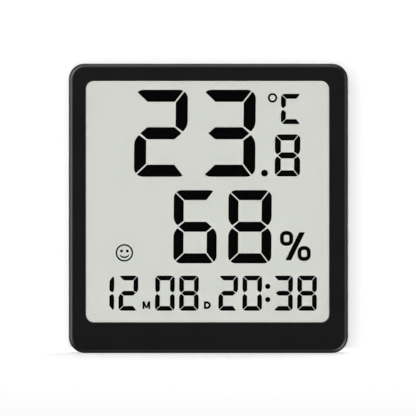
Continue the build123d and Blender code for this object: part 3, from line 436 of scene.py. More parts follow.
def black_plastic(name, colour, roughness, low, high):
    material, tree, shader = new_material(name, colour, roughness)
    group = place_grain(tree, shader, CASE_GRAINS, 0.30, roughness)
    rubbed = place_edges(tree, low, high, RUBBED_WIDTH)
    lighter = tuple(value * RUBBED_LIFT for value in colour)
    join(tree, blend_colours(tree, rubbed, colour, lighter), shader.inputs["Base Color"])
    polish = math_node(tree, "MULTIPLY", rubbed, -RUBBED_POLISH)
    join(tree, math_node(tree, "ADD", group.outputs["Roughness"], polish), shader.inputs["Roughness"])
    shader.inputs["Specular IOR Level"].default_value = CASE_SPECULAR
    return material


dress(black_plastic("case_plastic", CASE_BLACK, 0.30, cad_low, cad_high), "front_housing")
dress(black_plastic("cover_plastic", COVER_BLACK, 0.50, cad_low, cad_high), "rear_cover")
for name in ("battery_door", "stand_leg"):
    dress(black_plastic(name + "_plastic", COVER_BLACK, 0.48, *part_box(name)), name)
print("black plastics made")

# %% [markdown]
# The display is a sandwich: a clear lens, a polarizer, two glasses with the liquid crystal between them, and
# a grey-green reflector. What the eye sees is that grey-green ground with a sandy sparkle, and black
# segments in front of it. The clear layers are nearly see-through and cast no shadow, because every layer
# that a ray crosses costs the renderer one of its few see-through steps.

# %% Display
GROUND = (0.795, 0.815, 0.757)
GROUND_GRAINS = 5200.0
SPECKLE = 0.05
SPECKLE_START, SPECKLE_END = 0.3, 0.7
SEGMENT_BLACK = (0.0012, 0.0012, 0.0016)
CLEAR_TINT = (0.006, 0.007, 0.006)
CLEAR_ALPHA = 0.02
CLEAR_ROUGHNESS = {"display_lens": 0.05, "lcd_front_polarizer": 0.35, "lcd_front_glass": 0.05}
RIPPLE_SCALE = 40.0
RIPPLE_STRENGTH = 0.02
RIPPLE_HEIGHT = 0.1 * MM


def shades_of(colour, spread):
    """A darker and a lighter shade of a colour."""
    return [tuple(min(1.0, value * (1 + step)) for value in colour) for step in (-spread, spread)]


def display_ground():
    material, tree, shader = new_material("display_ground", GROUND, 0.6)
    group = place_grain(tree, shader, GROUND_GRAINS, 0.10, 0.62)
    speckle = add_node(tree, "ShaderNodeMapRange")
    fill(tree, speckle, {"Value": group.outputs["Shade"], "From Min": SPECKLE_START, "From Max": SPECKLE_END})
    colour = blend_colours(tree, speckle.outputs[0], *shades_of(GROUND, SPECKLE))
    join(tree, colour, shader.inputs["Base Color"])
    shader.inputs["Specular IOR Level"].default_value = 0.0
    return material


def segment_black():
    material, tree, shader = new_material("display_segments", SEGMENT_BLACK, 0.5)
    place_grain(tree, shader, GROUND_GRAINS, 0.05, 0.5)
    shader.inputs["Specular IOR Level"].default_value = 0.0
    return material


def clear_layer(name, roughness):
    material, tree, shader = new_material(name, CLEAR_TINT, roughness)
    shader.inputs["Alpha"].default_value = CLEAR_ALPHA
    bump = add_node(tree, "ShaderNodeBump")
    ripple = noise(tree, own_coordinates(tree), RIPPLE_SCALE, 2.0)
    fill(tree, bump, {"Strength": RIPPLE_STRENGTH, "Distance": RIPPLE_HEIGHT, "Height": ripple})
    join(tree, bump.outputs[0], shader.inputs["Normal"])
    return material


segment_names = sorted(name for name in nodes if name.startswith("segments_"))
dress(display_ground(), "lcd_rear_glass", "lcd_reflector")
dress(segment_black(), *segment_names)
for name, roughness in CLEAR_ROUGHNESS.items():
    dress(clear_layer(name + "_clear", roughness), name)
    nodes[name].visible_shadow = False
    nodes[name].visible_diffuse = False
print("display layers:", len(CLEAR_ROUGHNESS), "clear,", len(segment_names), "groups of segments")

# %% [markdown]
# Many small pieces carry two finishes: a black body with bright leads, or a plated end on a ceramic block.
# The solid already has the shape, so a mask on the piece's own coordinates is enough to tell the finishes
# apart. Cutting the mesh in two would do it too, but a mask keeps the piece whole. Each mask below is a
# number socket, one inside its region and zero outside.

# %% Masks


def axes_of(tree):
    """The x, y and z sockets of the piece's own coordinates, in metres."""
    split = add_node(tree, "ShaderNodeSeparateXYZ")
    join(tree, own_coordinates(tree), split.inputs[0])
    return split.outputs


def away_from(tree, axis, centre):
    return math_node(tree, "ABSOLUTE", math_node(tree, "SUBTRACT", axis, centre))


def folded_from(tree, axis, centre, pitch):
    """The distance from the nearest of many centres, which lie one pitch apart."""
    shifted = math_node(tree, "SUBTRACT", axis, centre)
    wrap = add_node(tree, "ShaderNodeMath", operation="WRAP")
    fill(tree, wrap, {0: shifted, 1: pitch / 2, 2: -pitch / 2})
    return math_node(tree, "ABSOLUTE", wrap.outputs[0])


def beyond(tree, distance, limit):
    return math_node(tree, "GREATER_THAN", distance, limit)


def within(tree, distance, limit):
    return math_node(tree, "LESS_THAN", distance, limit)


def both(tree, first, second):
    return math_node(tree, "MULTIPLY", first, second)


def either(tree, first, second):
    return math_node(tree, "MAXIMUM", first, second)


def near_point(tree, first, second, centre, radius):
    """Inside a round spot around a centre, which is given on two axes."""
    across = math_node(tree, "POWER", away_from(tree, first, centre[0]), 2.0)
    along = math_node(tree, "POWER", away_from(tree, second, centre[1]), 2.0)
    return within(tree, math_node(tree, "ADD", across, along), radius**2)


def bar_mark(tree, first, second, centre, half_first, half_second):
    """Inside a bar around a centre. Its half sizes are given on the same two axes."""
    across = within(tree, away_from(tree, first, centre[0]), half_first)
    return both(tree, across, within(tree, away_from(tree, second, centre[1]), half_second))


def plus_mark(tree, first, second, centre, reach, half_line):
    flat = bar_mark(tree, first, second, centre, reach, half_line)
    return either(tree, flat, bar_mark(tree, first, second, centre, half_line, reach))


print("masks ready")

# %% Finishes
# colour, metallic value and roughness
STEEL = ((0.60, 0.59, 0.57), 1.0, 0.30)
TIN = ((0.68, 0.68, 0.67), 1.0, 0.38)
ALUMINIUM = ((0.62, 0.63, 0.64), 1.0, 0.34)
WHITE_PAINT = ((0.72, 0.72, 0.70), 0.0, 0.55)
BLACK_RESIN = ((0.012, 0.012, 0.013), 0.0, 0.55)


def mask_finish(tree, shader, mask, first, second):
    """Blend two finishes by a mask."""
    join(tree, blend_colours(tree, mask, first[0], second[0]), shader.inputs["Base Color"])
    for name, low, high in (("Metallic", first[1], second[1]), ("Roughness", first[2], second[2])):
        step = math_node(tree, "MULTIPLY", mask, high - low)
        join(tree, math_node(tree, "ADD", step, low), shader.inputs[name])


def two_finish_material(name, first, second, make_mask):
    material, tree, shader = new_material(name, first[0], first[2], first[1])
    place_grain(tree, shader, 5000.0, 0.15, first[2])
    mask_finish(tree, shader, make_mask(tree, *axes_of(tree)), first, second)
    return material


def plain_material(name, finish, scale=5000.0, depth=0.15, spread=0.06, shade=0.12):
    """One finish whose colour wanders a little with the grain."""
    colour, metallic, roughness = finish
    material, tree, shader = new_material(name, colour, roughness, metallic)
    group = place_grain(tree, shader, scale, depth, roughness, spread)
    mixed = blend_colours(tree, group.outputs["Shade"], *shades_of(colour, shade))
    join(tree, mixed, shader.inputs["Base Color"])
    return material


def middle_of(name):
    low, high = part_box(name)
    return (low + high) / 2


def half_size_of(name):
    low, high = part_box(name)
    return (high - low) / 2


print("finishes:", STEEL, TIN)

# %% [markdown]
# The window's tape is soft black foam, the display's seal is a pale glue, and the strip below the display is
# made of thin layers, alternately black and pink, that carry the signals to the board side by side. A mask
# that repeats along the strip draws the layers.

# %% Tape, seal, strip and holder
TAPE_FOAM = ((0.010, 0.010, 0.011), 0.0, 0.9)
PALE_GLUE = ((0.42, 0.38, 0.26), 0.0, 0.35)
PINK_RUBBER = ((0.50, 0.22, 0.20), 0.0, 0.6)
CARBON_RUBBER = ((0.012, 0.012, 0.013), 0.0, 0.7)
WHITE_TRAY = ((0.62, 0.61, 0.57), 0.0, 0.45)
LAYER_PITCH = 0.5 * MM


def strip_layers(tree, x, y, z):
    return within(tree, folded_from(tree, x, 0.0, LAYER_PITCH), LAYER_PITCH / 4)


dress(plain_material("tape_foam", TAPE_FOAM, 2600.0, 0.8), "lens_tape")
dress(plain_material("cell_glue", PALE_GLUE, 1500.0, 0.2), "lcd_cell_seal")
dress(two_finish_material("strip_rubber", PINK_RUBBER, CARBON_RUBBER, strip_layers), "contact_strip")
dress(plain_material("holder_plastic", WHITE_TRAY, 6000.0, 0.25, shade=0.03), "display_holder")
print("strip layers:", round(nodes["contact_strip"].dimensions.x / LAYER_PITCH))

# %% [markdown]
# A circuit board is green because of the lacquer over its copper. The copper tracks show through as a
# lighter green, so a pattern of square-cornered cells makes them, and round tinned spots stand where wires
# pass from one side to the other. The lacquer covers the two faces only: the cut edge shows the bare glass
# fibre. Each track could be drawn, but the closed case hides the board, so a pattern is enough.

# %% Board
LACQUER = ((0.006, 0.075, 0.028), 0.0, 0.28)
COPPER_UNDER_LACQUER = (0.016, 0.150, 0.050)
BARE_FIBRE = (0.42, 0.38, 0.20)
TRACK_CELLS = 320.0
TRACK_JITTER = 0.75
TRACKS_PER_CELL = 5.0
TRACK_SHARE = 0.42
SPOT_CELLS = 260.0
SPOT_SHARE = 0.10
FACING = 0.7


def cells(tree, vector, scale, distance, randomness):
    """How far a point is from the middle of its cell, in a pattern of irregular cells."""
    node = add_node(tree, "ShaderNodeTexVoronoi", distance=distance, feature="F1")
    fill(tree, node, {"Vector": vector, "Scale": scale, "Randomness": randomness})
    return node.outputs["Distance"]


def board_material():
    material, tree, shader = new_material("board_laminate", LACQUER[0], LACQUER[2])
    place_grain(tree, shader, 3000.0, 0.10, LACQUER[2])
    coordinates = add_node(tree, "ShaderNodeTexCoord")
    vector = coordinates.outputs["Object"]
    square = cells(tree, vector, TRACK_CELLS, "CHEBYCHEV", TRACK_JITTER)
    band = math_node(tree, "WRAP", math_node(tree, "MULTIPLY", square, TRACKS_PER_CELL), 1.0)
    tracks = within(tree, band, TRACK_SHARE)
    spots = within(tree, cells(tree, vector, SPOT_CELLS, "EUCLIDEAN", 1.0), SPOT_SHARE)
    facing = add_node(tree, "ShaderNodeSeparateXYZ")
    join(tree, coordinates.outputs["Normal"], facing.inputs[0])
    face = beyond(tree, math_node(tree, "ABSOLUTE", facing.outputs["Y"]), FACING)
    tinned = both(tree, spots, face)
    lacquered = blend_colours(tree, tracks, LACQUER[0], COPPER_UNDER_LACQUER)
    with_spots = blend_colours(tree, tinned, lacquered, TIN[0])
    fill(tree, shader, {"Base Color": blend_colours(tree, face, BARE_FIBRE, with_spots), "Metallic": tinned})
    return material


dress(board_material(), "main_board")
print("board half size in mm:", [round(value / MM, 1) for value in half_size_of("main_board")])

# %% [markdown]
# The parts on the board come next. Each mask is placed by the box of its own node, so the leads, the plated
# ends and the printed dot stay right if a part is moved in the CAD. The chip has leads on four sides and a
# dot that marks its first lead.

# %% Chip
LEAD_REACH = 1.0 * MM
DOT_INSET = 1.3 * MM
DOT_RADIUS = 0.45 * MM
chip_middle = middle_of("controller_chip")
chip_half = half_size_of("controller_chip")


def chip_material():
    material, tree, shader = new_material("chip_resin", BLACK_RESIN[0], BLACK_RESIN[2])
    place_grain(tree, shader, 9000.0, 0.4, BLACK_RESIN[2])
    x, _, z = axes_of(tree)
    body_half = chip_half.x - LEAD_REACH
    leads = either(tree, beyond(tree, away_from(tree, x, chip_middle.x), body_half),
                   beyond(tree, away_from(tree, z, chip_middle.z), body_half))
    corner = body_half - DOT_INSET
    dot = near_point(tree, x, z, (chip_middle.x - corner, chip_middle.z + corner), DOT_RADIUS)
    mask_finish(tree, shader, leads, BLACK_RESIN, TIN)
    lit = blend_colours(tree, either(tree, leads, dot), BLACK_RESIN[0], TIN[0])
    join(tree, lit, shader.inputs["Base Color"])
    return material


dress(chip_material(), "controller_chip")
print("chip side in mm:", round(2 * chip_half.x / MM, 1))

# %% Other parts on the board
CERAMIC = ((0.33, 0.22, 0.13), 0.0, 0.5)
SENSOR_CASE = ((0.70, 0.69, 0.65), 0.0, 0.45)
PASSIVE_LENGTH = 1.6 * MM
PASSIVE_END = 0.35 * MM
CAN_FOOT = 0.8 * MM
CAN_TOP = 0.05 * MM
CAN_STRIPE = 1.5 * MM
PORT_SHARE = 0.35
LID_THICKNESS = 0.35 * MM


def passive_ends(tree, x, y, z):
    low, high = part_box("board_passives")
    row_pitch = high.z - low.z - PASSIVE_LENGTH
    middle = low.z + PASSIVE_LENGTH / 2
    return beyond(tree, folded_from(tree, z, middle, row_pitch), PASSIVE_LENGTH / 2 - PASSIVE_END)


def can_marks(tree, x, y, z):
    low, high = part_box("filter_capacitor")
    foot = within(tree, y, low.y + CAN_FOOT)
    stripe = both(tree, beyond(tree, y, high.y - CAN_TOP), within(tree, x, low.x + CAN_STRIPE))
    return either(tree, foot, stripe)


def sensor_port(tree, x, y, z):
    middle = middle_of("sensor_chip")
    return near_point(tree, x, z, (middle.x, middle.z), half_size_of("sensor_chip").x * PORT_SHARE)


def switch_lid(tree, x, y, z):
    return beyond(tree, y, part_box("switch_bodies")[1].y - LID_THICKNESS)


dress(two_finish_material("passive_ceramic", CERAMIC, TIN, passive_ends), "board_passives")
dress(two_finish_material("capacitor_can", ALUMINIUM, BLACK_RESIN, can_marks), "filter_capacitor")
dress(two_finish_material("sensor_case", SENSOR_CASE, BLACK_RESIN, sensor_port), "sensor_chip")
dress(two_finish_material("switch_plastic", BLACK_RESIN, STEEL, switch_lid), "switch_bodies")
print("parts on the board dressed")

# %% [markdown]
# Springs and contacts are plated and bright, the screws are duller, and the stand's pin is bare steel. A
# little grain keeps each metal from looking like a mirror. The switches' plungers are a dull red plastic.

# %% Metals and plungers
ZINC = ((0.50, 0.50, 0.50), 1.0, 0.36)
PIN_STEEL = ((0.55, 0.54, 0.53), 1.0, 0.28)
PLUNGER_RED = ((0.55, 0.10, 0.05), 0.0, 0.4)
plunger_names = ("mode_switch_plunger", "up_switch_plunger", "down_switch_plunger")
plated_names = ("clock_crystal", "bridge_contact", "bridge_spring", "positive_contact", "negative_contact",
                "negative_spring")
dress(plain_material("plunger_plastic", PLUNGER_RED), *plunger_names)
dress(plain_material("plated_steel", STEEL, 3500.0, 0.12, 0.10), *plated_names)
dress(plain_material("screw_steel", ZINC, 4000.0, 0.25, 0.12), "board_screws", "case_screws")
dress(plain_material("pin_steel", PIN_STEEL, 4000.0, 0.15, 0.10), "stand_pin")
print("plated pieces:", len(plated_names))

# %% [markdown]
# The three buttons are a slightly lighter black than the cover, and their sunk marks are filled with white
# paint. The paint lies on the floor of each mark, so the mask asks for two things: close to the button's
# middle, and a little below its face. The wires have a coloured cover that ends a little before the solder.

# %% Buttons and wires
BUTTON_BLACK = ((0.013, 0.013, 0.014), 0.0, 0.36)
RED_COVER = ((0.42, 0.012, 0.010), 0.0, 0.32)
BLACK_COVER = ((0.012, 0.012, 0.013), 0.0, 0.32)
MARK_DEPTH = 0.2 * MM
MARK_RADIUS = 1.5 * MM
MARK_SLACK = 0.06 * MM
BARE_END = 0.9 * MM


def button_material(name):
    middle = middle_of(name)
    floor_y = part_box(name)[1].y - MARK_DEPTH
    material, tree, shader = new_material(name + "_plastic", BUTTON_BLACK[0], BUTTON_BLACK[2])
    place_grain(tree, shader, CASE_GRAINS, 0.2, BUTTON_BLACK[2])
    x, y, z = axes_of(tree)
    on_floor = both(tree, within(tree, y, floor_y + MARK_SLACK), beyond(tree, y, floor_y - MARK_SLACK))
    paint = both(tree, on_floor, near_point(tree, x, z, (middle.x, middle.z), MARK_RADIUS))
    mask_finish(tree, shader, paint, BUTTON_BLACK, WHITE_PAINT)
    return material


def wire_material(name, node, cover):
    low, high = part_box(node)

    def bare_ends(tree, x, y, z):
        return either(tree, within(tree, y, low.y + BARE_END), beyond(tree, z, high.z - BARE_END))

    return two_finish_material(name, cover, TIN, bare_ends)


for name in ("mode_button", "up_button", "down_button"):
    dress(button_material(name), name)
dress(wire_material("wire_red", "battery_wire_positive", RED_COVER), "battery_wire_positive")
dress(wire_material("wire_black", "battery_wire_negative", BLACK_COVER), "battery_wire_negative")
print("buttons and wires dressed")

# %% [markdown]
# The two cells are turned forms, so a profile spun about the cell's axis makes them. The solid in the frame
# is a plain round bar with a nub. The real one has a sunk steel end, a jacket whose edge is rolled over it,
# and a stepped cap around the nub. Each point of the profile is a distance along the axis from the flat end,
# a radius, and the finish of the band that follows it. A Screw modifier could spin it too, but here each
# band gets its own material as it is made.

# %% Profile of a cell
TURN_STEPS = 72
JACKET, METAL = 0, 1
CELL_PROFILE = [
    (0.00, 0.00, METAL), (0.00, 3.60, METAL), (0.10, 3.85, METAL), (0.38, 4.05, METAL),
    (0.38, 4.30, JACKET), (0.12, 4.48, JACKET), (0.03, 4.72, JACKET), (0.10, 5.00, JACKET),
    (0.34, 5.19, JACKET), (0.80, 5.25, JACKET), (42.60, 5.25, JACKET), (43.30, 5.20, JACKET),
    (43.60, 5.02, JACKET), (43.70, 4.74, JACKET), (43.62, 4.48, JACKET), (43.36, 4.30, METAL),
    (43.30, 3.90, METAL), (43.42, 3.30, METAL), (43.62, 2.70, METAL), (43.70, 2.05, METAL),
    (43.84, 1.90, METAL), (44.30, 1.88, METAL), (44.46, 1.72, METAL), (44.50, 1.40, METAL),
    (44.50, 0.00, METAL)]


def finish_mesh(name, build):
    """Turn a bmesh into an object."""
    mesh = bpy.data.meshes.new(name)
    build.to_mesh(mesh)
    build.free()
    return add_object(name, mesh)


def turned(name, profile, place, materials, steps=TURN_STEPS):
    """Spin a profile. place turns an axial distance, a radius and an angle into a point."""
    build = bmesh.new()
    rings = []
    for along, radius, _ in profile:
        count = steps if radius else 1
        rings.append([build.verts.new(place(along, radius, 2 * pi * step / steps)) for step in range(count)])
    for first, second, (_, _, finish) in zip(rings, rings[1:], profile):
        for step in range(steps):
            after = (step + 1) % steps
            corners = [first[step % len(first)], first[after % len(first)],
                       second[after % len(second)], second[step % len(second)]]
            corners = list(dict.fromkeys(corners))
            if len(corners) > 2:
                face = build.faces.new(corners)
                face.material_index = finish
                face.smooth = True
    bmesh.ops.recalc_face_normals(build, faces=build.faces)
    piece = finish_mesh(name, build)
    for material in materials:
        piece.data.materials.append(material)
    return piece


print("profile points:", len(CELL_PROFILE))

# %% Jacket of a cell
JACKET_BLUE = ((0.022, 0.060, 0.120), 0.25, 0.30)
BAND_GREY = (0.52, 0.53, 0.54)
BAND_START = 37.5 * MM
PLUS_PLACE = 40.4 * MM
MINUS_PLACE = 4.2 * MM
SIGN_REACH = 1.5 * MM
SIGN_HALF = 0.32 * MM


def jacket_material(name, flat_end, direction, centre_z):
    """A blue sleeve with a grey band, a plus sign in the band and a minus sign at the other end."""
    material, tree, shader = new_material(name, JACKET_BLUE[0], JACKET_BLUE[2], JACKET_BLUE[1])
    place_grain(tree, shader, 1200.0, 0.05, JACKET_BLUE[2])
    x, _, z = axes_of(tree)
    along = math_node(tree, "MULTIPLY", math_node(tree, "SUBTRACT", x, flat_end), direction)
    band = beyond(tree, along, BAND_START)
    plus = plus_mark(tree, along, z, (PLUS_PLACE, centre_z), SIGN_REACH, SIGN_HALF)
    minus = bar_mark(tree, z, along, (centre_z, MINUS_PLACE), SIGN_REACH, SIGN_HALF)
    grey = math_node(tree, "SUBTRACT", band, both(tree, band, plus))
    banded = blend_colours(tree, grey, JACKET_BLUE[0], BAND_GREY)
    join(tree, blend_colours(tree, minus, banded, BAND_GREY), shader.inputs["Base Color"])
    return material


cell_steel = plain_material("cell_steel", STEEL, 2500.0, 0.06, 0.08)
print("band starts in mm:", BAND_START / MM)

# %% Two cells
for name, direction in (("battery_upper", 1), ("battery_lower", -1)):
    low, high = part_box(name)
    middle = middle_of(name)
    flat_end = low.x if direction > 0 else high.x

    def place(along, radius, angle):
        return Vector((flat_end + direction * along * MM, middle.y + radius * MM * cos(angle),
                       middle.z + radius * MM * sin(angle)))

    jacket = jacket_material(name + "_jacket", flat_end, direction, middle.z)
    cell = turned(name + "_cell", CELL_PROFILE, place, (jacket, cell_steel))
    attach(cell, "case")
    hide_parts(name)
    print(cell.name, "faces:", len(cell.data.polygons))

# %% [markdown]
# The foam strip in the door presses the cells into their bay. Foam that is cut with a blade keeps a flat
# back but rounds over at its free edges, and it stands a little higher in the middle. A grid of points with
# those two rules makes it.

# %% Foam strip
FOAM_STEPS_X = 68
FOAM_STEPS_Z = 24
FOAM_EDGE = 0.9 * MM
FOAM_EDGE_DROP = 0.55
FOAM_CROWN = 0.06 * MM
FOAM_WANDER = 0.018 * MM
FOAM_WAVES_X, FOAM_WAVES_Z = 9, 5


def foam_strip(name):
    low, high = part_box(name)
    middle = middle_of(name)
    half = half_size_of(name)
    thickness = high.y - low.y
    build = bmesh.new()

    def corner(i, j, at_door):
        u = 2 * i / FOAM_STEPS_X - 1
        v = 2 * j / FOAM_STEPS_Z - 1
        to_edge = min(half.x * (1 - abs(u)), half.z * (1 - abs(v)))
        drop = max(0.0, 1 - to_edge / FOAM_EDGE) ** 2 * FOAM_EDGE_DROP * thickness
        dome = FOAM_CROWN * (1 - (1 - u * u) * (1 - v * v))
        wander = abs(FOAM_WANDER * sin(FOAM_WAVES_X * u) * cos(FOAM_WAVES_Z * v))
        y = high.y if at_door else min(high.y, low.y + drop + dome + wander)
        return build.verts.new((middle.x + half.x * u, y, middle.z + half.z * v))

    free, glued = [[[corner(i, j, side) for j in range(FOAM_STEPS_Z + 1)] for i in range(FOAM_STEPS_X + 1)]
                   for side in (False, True)]
    for i in range(FOAM_STEPS_X):
        for j in range(FOAM_STEPS_Z):
            build.faces.new((free[i][j], free[i + 1][j], free[i + 1][j + 1], free[i][j + 1]))
            build.faces.new((glued[i][j], glued[i][j + 1], glued[i + 1][j + 1], glued[i + 1][j]))
    rim = [(i, 0) for i in range(FOAM_STEPS_X)] + [(FOAM_STEPS_X, j) for j in range(FOAM_STEPS_Z)]
    rim += [(i, FOAM_STEPS_Z) for i in range(FOAM_STEPS_X, 0, -1)]
    rim += [(0, j) for j in range(FOAM_STEPS_Z, 0, -1)]
    for (i, j), (k, m) in zip(rim, rim[1:] + rim[:1]):
        build.faces.new((free[i][j], glued[i][j], glued[k][m], free[k][m]))
    bmesh.ops.recalc_face_normals(build, faces=build.faces)
    for face in build.faces:
        face.smooth = True
    return finish_mesh(name + "_foam", build)


print("foam grid:", FOAM_STEPS_X, "by", FOAM_STEPS_Z)

# %% Foam in the door
FOAM_GREY = (0.035, 0.036, 0.038)
PORE_SHADE = (0.010, 0.010, 0.011)
PORE_CELLS = 1500.0
PORE_SHARE = 0.32


def foam_material():
    """Open foam, with round pores painted dark to stand for the shade inside them."""
    material, tree, shader = new_material("pad_foam", FOAM_GREY, 0.95)
    place_grain(tree, shader, 2600.0, 0.6, 0.95)
    # Painted shade: the pores are only coloured darker, as the shade inside a pore would be; the surface is
    # not sunk there.
    pore_shade = within(tree, cells(tree, own_coordinates(tree), PORE_CELLS, "EUCLIDEAN", 1.0), PORE_SHARE)
    join(tree, blend_colours(tree, pore_shade, FOAM_GREY, PORE_SHADE), shader.inputs["Base Color"])
    return material


foam = foam_strip("door_foam_pad")
foam.data.materials.append(foam_material())
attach(foam, "battery_door")
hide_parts("door_foam_pad")
print("foam strip faces:", len(foam.data.polygons))

# %% [markdown]
# Ribs and solder joints repeat, so Geometry Nodes places them. One helper makes a tree with named inputs,
# another one hangs it on an object, sets the inputs by their identifiers, and turns the result into a plain
# mesh. The tree ends by making the copies real, because a file format may drop them.

# %% Geometry Nodes helpers


def geometry_tree(name, inputs):
    tree = bpy.data.node_groups.new(name, "GeometryNodeTree")
    tree.interface.new_socket("Geometry", in_out="OUTPUT", socket_type="NodeSocketGeometry")
    for label, kind in inputs:
        tree.interface.new_socket(label, in_out="INPUT", socket_type=kind)
    return tree, tree.nodes.new("NodeGroupInput").outputs, tree.nodes.new("NodeGroupOutput")


def finish_tree(tree, geometry, end, material):
    real = add_node(tree, "GeometryNodeRealizeInstances")
    coat = add_node(tree, "GeometryNodeSetMaterial")
    coat.inputs["Material"].default_value = material
    join(tree, geometry, real.inputs[0])
    join(tree, real.outputs[0], coat.inputs["Geometry"])
    join(tree, coat.outputs[0], end.inputs[0])


def grown(name, tree, values):
    """Run a tree with its inputs set, and keep the result as a plain mesh at the origin."""
    empty = bpy.data.meshes.new(name + "_seed")
    seed = add_object(name + "_seed", empty)
    modifier = seed.modifiers.new("grow", "NODES")
    modifier.node_group = tree
    for item in tree.interface.items_tree:
        if item.item_type == "SOCKET" and item.in_out == "INPUT":
            modifier[item.identifier] = values[item.name]
    depsgraph = bpy.context.evaluated_depsgraph_get()
    mesh = bpy.data.meshes.new_from_object(seed.evaluated_get(depsgraph))
    bpy.data.objects.remove(seed)
    bpy.data.meshes.remove(empty)
    mesh.name = name
    return add_object(name, mesh)


def vector_socket(tree, x=None, y=None, z=None):
    """Three numbers or sockets as one vector."""
    node = add_node(tree, "ShaderNodeCombineXYZ")
    fill(tree, node, {"X": x, "Y": y, "Z": z})
    return node.outputs[0]


def row_of(tree, shape, count, pitch, start, **settings):
    """Copies of a shape in a row along X."""
    row = add_node(tree, "GeometryNodeMeshLine", mode="OFFSET")
    fill(tree, row, {"Count": count, "Offset": vector_socket(tree, pitch), "Start Location": start})
    copies = add_node(tree, "GeometryNodeInstanceOnPoints")
    fill(tree, copies, {"Points": row.outputs["Mesh"], "Instance": shape, **settings})
    return copies.outputs[0]


def moved(tree, geometry, place=None, turn=None):
    node = add_node(tree, "GeometryNodeTransform")
    fill(tree, node, {"Geometry": geometry, "Translation": place, "Rotation": turn})
    return node.outputs[0]


print("geometry helpers ready")

# %% [markdown]
# The rubber foot keeps the stand from sliding. It is a flat strip with half-round ribs below it, one beside
# the other. Modelled by hand, each rib would have to be moved when the strip changes. The tree takes the
# strip's size and the ribs' radius and pitch, and sets them in a row.

# %% Tree of the ribbed foot
RIB_SIDES = 16
RIB_LENGTH_SHARE = 0.96
rubber = plain_material("foot_rubber", ((0.020, 0.020, 0.021), 0.0, 0.78), 4200.0, 0.5)
foot_tree, start, end = geometry_tree("ribbed_strip", [
    ("Length", FLOAT), ("Depth", FLOAT), ("Height", FLOAT), ("Rib Radius", FLOAT), ("Ribs", "NodeSocketInt"),
    ("Pitch", FLOAT), ("Centre", VECTOR)])
slab = add_node(foot_tree, "GeometryNodeMeshCube")
slab_height = math_node(foot_tree, "SUBTRACT", start["Height"], start["Rib Radius"])
join(foot_tree, vector_socket(foot_tree, start["Length"], start["Depth"], slab_height), slab.inputs["Size"])
slab_rise = math_node(foot_tree, "MULTIPLY", start["Rib Radius"], 0.5)
raised = moved(foot_tree, slab.outputs["Mesh"], vector_socket(foot_tree, z=slab_rise))
rib = add_node(foot_tree, "GeometryNodeMeshCylinder")
fill(foot_tree, rib, {"Vertices": RIB_SIDES, "Radius": start["Rib Radius"],
                      "Depth": math_node(foot_tree, "MULTIPLY", start["Depth"], RIB_LENGTH_SHARE)})
span = math_node(foot_tree, "MULTIPLY", start["Pitch"], math_node(foot_tree, "SUBTRACT", start["Ribs"], 1.0))
first_x = math_node(foot_tree, "MULTIPLY", span, -0.5)
low_face = math_node(foot_tree, "MULTIPLY", start["Height"], -0.5)
rib_z = math_node(foot_tree, "ADD", low_face, start["Rib Radius"])
ribs = row_of(foot_tree, rib.outputs["Mesh"], start["Ribs"], start["Pitch"],
              vector_socket(foot_tree, first_x, None, rib_z), Rotation=(pi / 2, 0, 0))
merged = add_node(foot_tree, "GeometryNodeJoinGeometry")
join(foot_tree, raised, merged.inputs[0])
join(foot_tree, ribs, merged.inputs[0])
finish_tree(foot_tree, moved(foot_tree, merged.outputs[0], start["Centre"]), end, rubber)
print("foot tree:", len(foot_tree.nodes), "nodes")

# %% Ribbed foot
RIB_RADIUS = 0.35 * MM
RIB_PITCH = 1.1 * MM
low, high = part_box("stand_foot_pad")
rib_count = int((high.x - low.x - 2 * RIB_RADIUS) / RIB_PITCH) + 1
foot = grown("stand_foot_ribbed", foot_tree, {
    "Length": high.x - low.x, "Depth": high.y - low.y, "Height": high.z - low.z, "Rib Radius": RIB_RADIUS,
    "Ribs": rib_count, "Pitch": RIB_PITCH, "Centre": tuple(middle_of("stand_foot_pad"))})
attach(foot, "stand")
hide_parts("stand_foot_pad")
print("ribs:", rib_count, "faces:", len(foot.data.polygons))

# %% [markdown]
# Every lead of the chip ends in a small slope of solder on the board. A short cone with its top cut off is
# close to it. Eleven of them stand in a row, and the row is copied to the four sides of the chip.

# %% Tree of the solder joints
LEAD_COUNT = 11
SOLDER_SIDES = 10
solder = plain_material("solder", TIN, 2500.0, 0.2, 0.10)
solder_tree, start, end = geometry_tree("solder_rows", [
    ("Reach", FLOAT), ("Pitch", FLOAT), ("Wedge", VECTOR), ("Centre", VECTOR)])
wedge = add_node(solder_tree, "GeometryNodeMeshCone")
fill(solder_tree, wedge, {"Vertices": SOLDER_SIDES, "Radius Top": 0.25, "Radius Bottom": 0.5, "Depth": 1.0})
first_x = math_node(solder_tree, "MULTIPLY", start["Pitch"], -(LEAD_COUNT - 1) / 2)
joints = row_of(solder_tree, wedge.outputs["Mesh"], LEAD_COUNT, start["Pitch"],
                vector_socket(solder_tree, first_x, start["Reach"]), Scale=start["Wedge"])
four_sides = add_node(solder_tree, "GeometryNodeJoinGeometry")
for quarter in range(4):
    join(solder_tree, moved(solder_tree, joints, turn=(0, 0, quarter * pi / 2)), four_sides.inputs[0])
upright = moved(solder_tree, four_sides.outputs[0], start["Centre"], (-pi / 2, 0, 0))
finish_tree(solder_tree, upright, end, solder)
print("solder tree:", len(solder_tree.nodes), "nodes")

# %% Solder at the chip
LEAD_PITCH = 0.72 * MM
WEDGE = Vector((0.42, 0.40, 0.24)) * MM
board_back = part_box("main_board")[1].y
chip_solder = grown("chip_solder", solder_tree, {
    "Reach": chip_half.x, "Pitch": LEAD_PITCH, "Wedge": tuple(WEDGE),
    "Centre": (chip_middle.x, board_back + WEDGE.z / 2, chip_middle.z)})
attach(chip_solder, "case")
print("solder joints:", LEAD_COUNT * 4, "faces:", len(chip_solder.data.polygons))

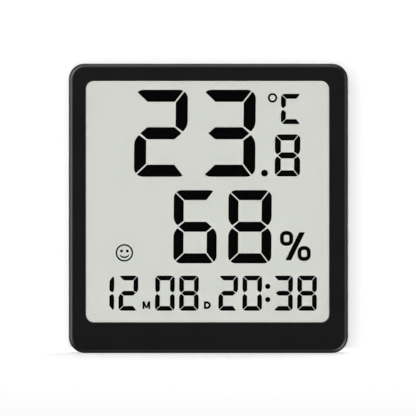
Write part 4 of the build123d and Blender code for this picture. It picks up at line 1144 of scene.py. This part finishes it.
# %% [markdown]
# The wires end in round beads of solder on the board. A bead is a drop, so it is turned from a short profile
# with the same function as the cells.

# %% Solder beads
BEAD = [(0.00, 0.00, 0), (0.00, 1.00, 0), (0.18, 0.96, 0), (0.42, 0.76, 0), (0.62, 0.44, 0), (0.70, 0.00, 0)]
BEAD_STEPS = 32
for name in ("battery_wire_positive", "battery_wire_negative"):
    middle_x = middle_of(name).x
    foot_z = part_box(name)[0].z + half_size_of(name).x

    def bead_place(along, radius, angle):
        return Vector((middle_x + radius * MM * cos(angle), board_back + along * MM,
                       foot_z + radius * MM * sin(angle)))

    bead = turned(name + "_solder", BEAD, bead_place, (solder,), steps=BEAD_STEPS)
    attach(bead, "case")
    print(bead.name, "faces:", len(bead.data.polygons))

# %% [markdown]
# Printed signs beside the bay show which way the cells go in. A mask in the cover's material could draw
# them, but thin bars are simpler. They lie on the floor of the door's bed, one layer of ink thick.

# %% Printed signs
# across and up, in millimetres
SIGN_PLACES = {"plus": [(20.0, 64.0), (-20.0, 40.0)], "minus": [(-17.0, 64.0), (17.0, 40.0)]}
SIGN_LONG = 0.80 * MM
SIGN_WIDE = 0.22 * MM
INK = 0.03 * MM
DOOR_BED_GAP = 0.1 * MM
bed_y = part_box("battery_door")[0].y - DOOR_BED_GAP


def ink_bar(build, x, z, half_x, half_z):
    """One printed bar, with its six faces outward."""
    size = Matrix.Diagonal((2 * half_x, INK, 2 * half_z, 1))
    bmesh.ops.create_cube(build, size=1, matrix=Matrix.Translation((x, bed_y + INK / 2, z)) @ size)


build = bmesh.new()
for sign, places in SIGN_PLACES.items():
    for x, z in places:
        ink_bar(build, x * MM, z * MM, SIGN_LONG, SIGN_WIDE)
        if sign == "plus":
            arm = (SIGN_LONG - SIGN_WIDE) / 2
            for side in (1, -1):
                ink_bar(build, x * MM, z * MM + side * (SIGN_WIDE + arm), SIGN_WIDE, arm)
signs = finish_mesh("polarity_signs", build)
signs.data.materials.append(plain_material("sign_ink", WHITE_PAINT))
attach(signs, "case")
print("sign faces:", len(signs.data.polygons))
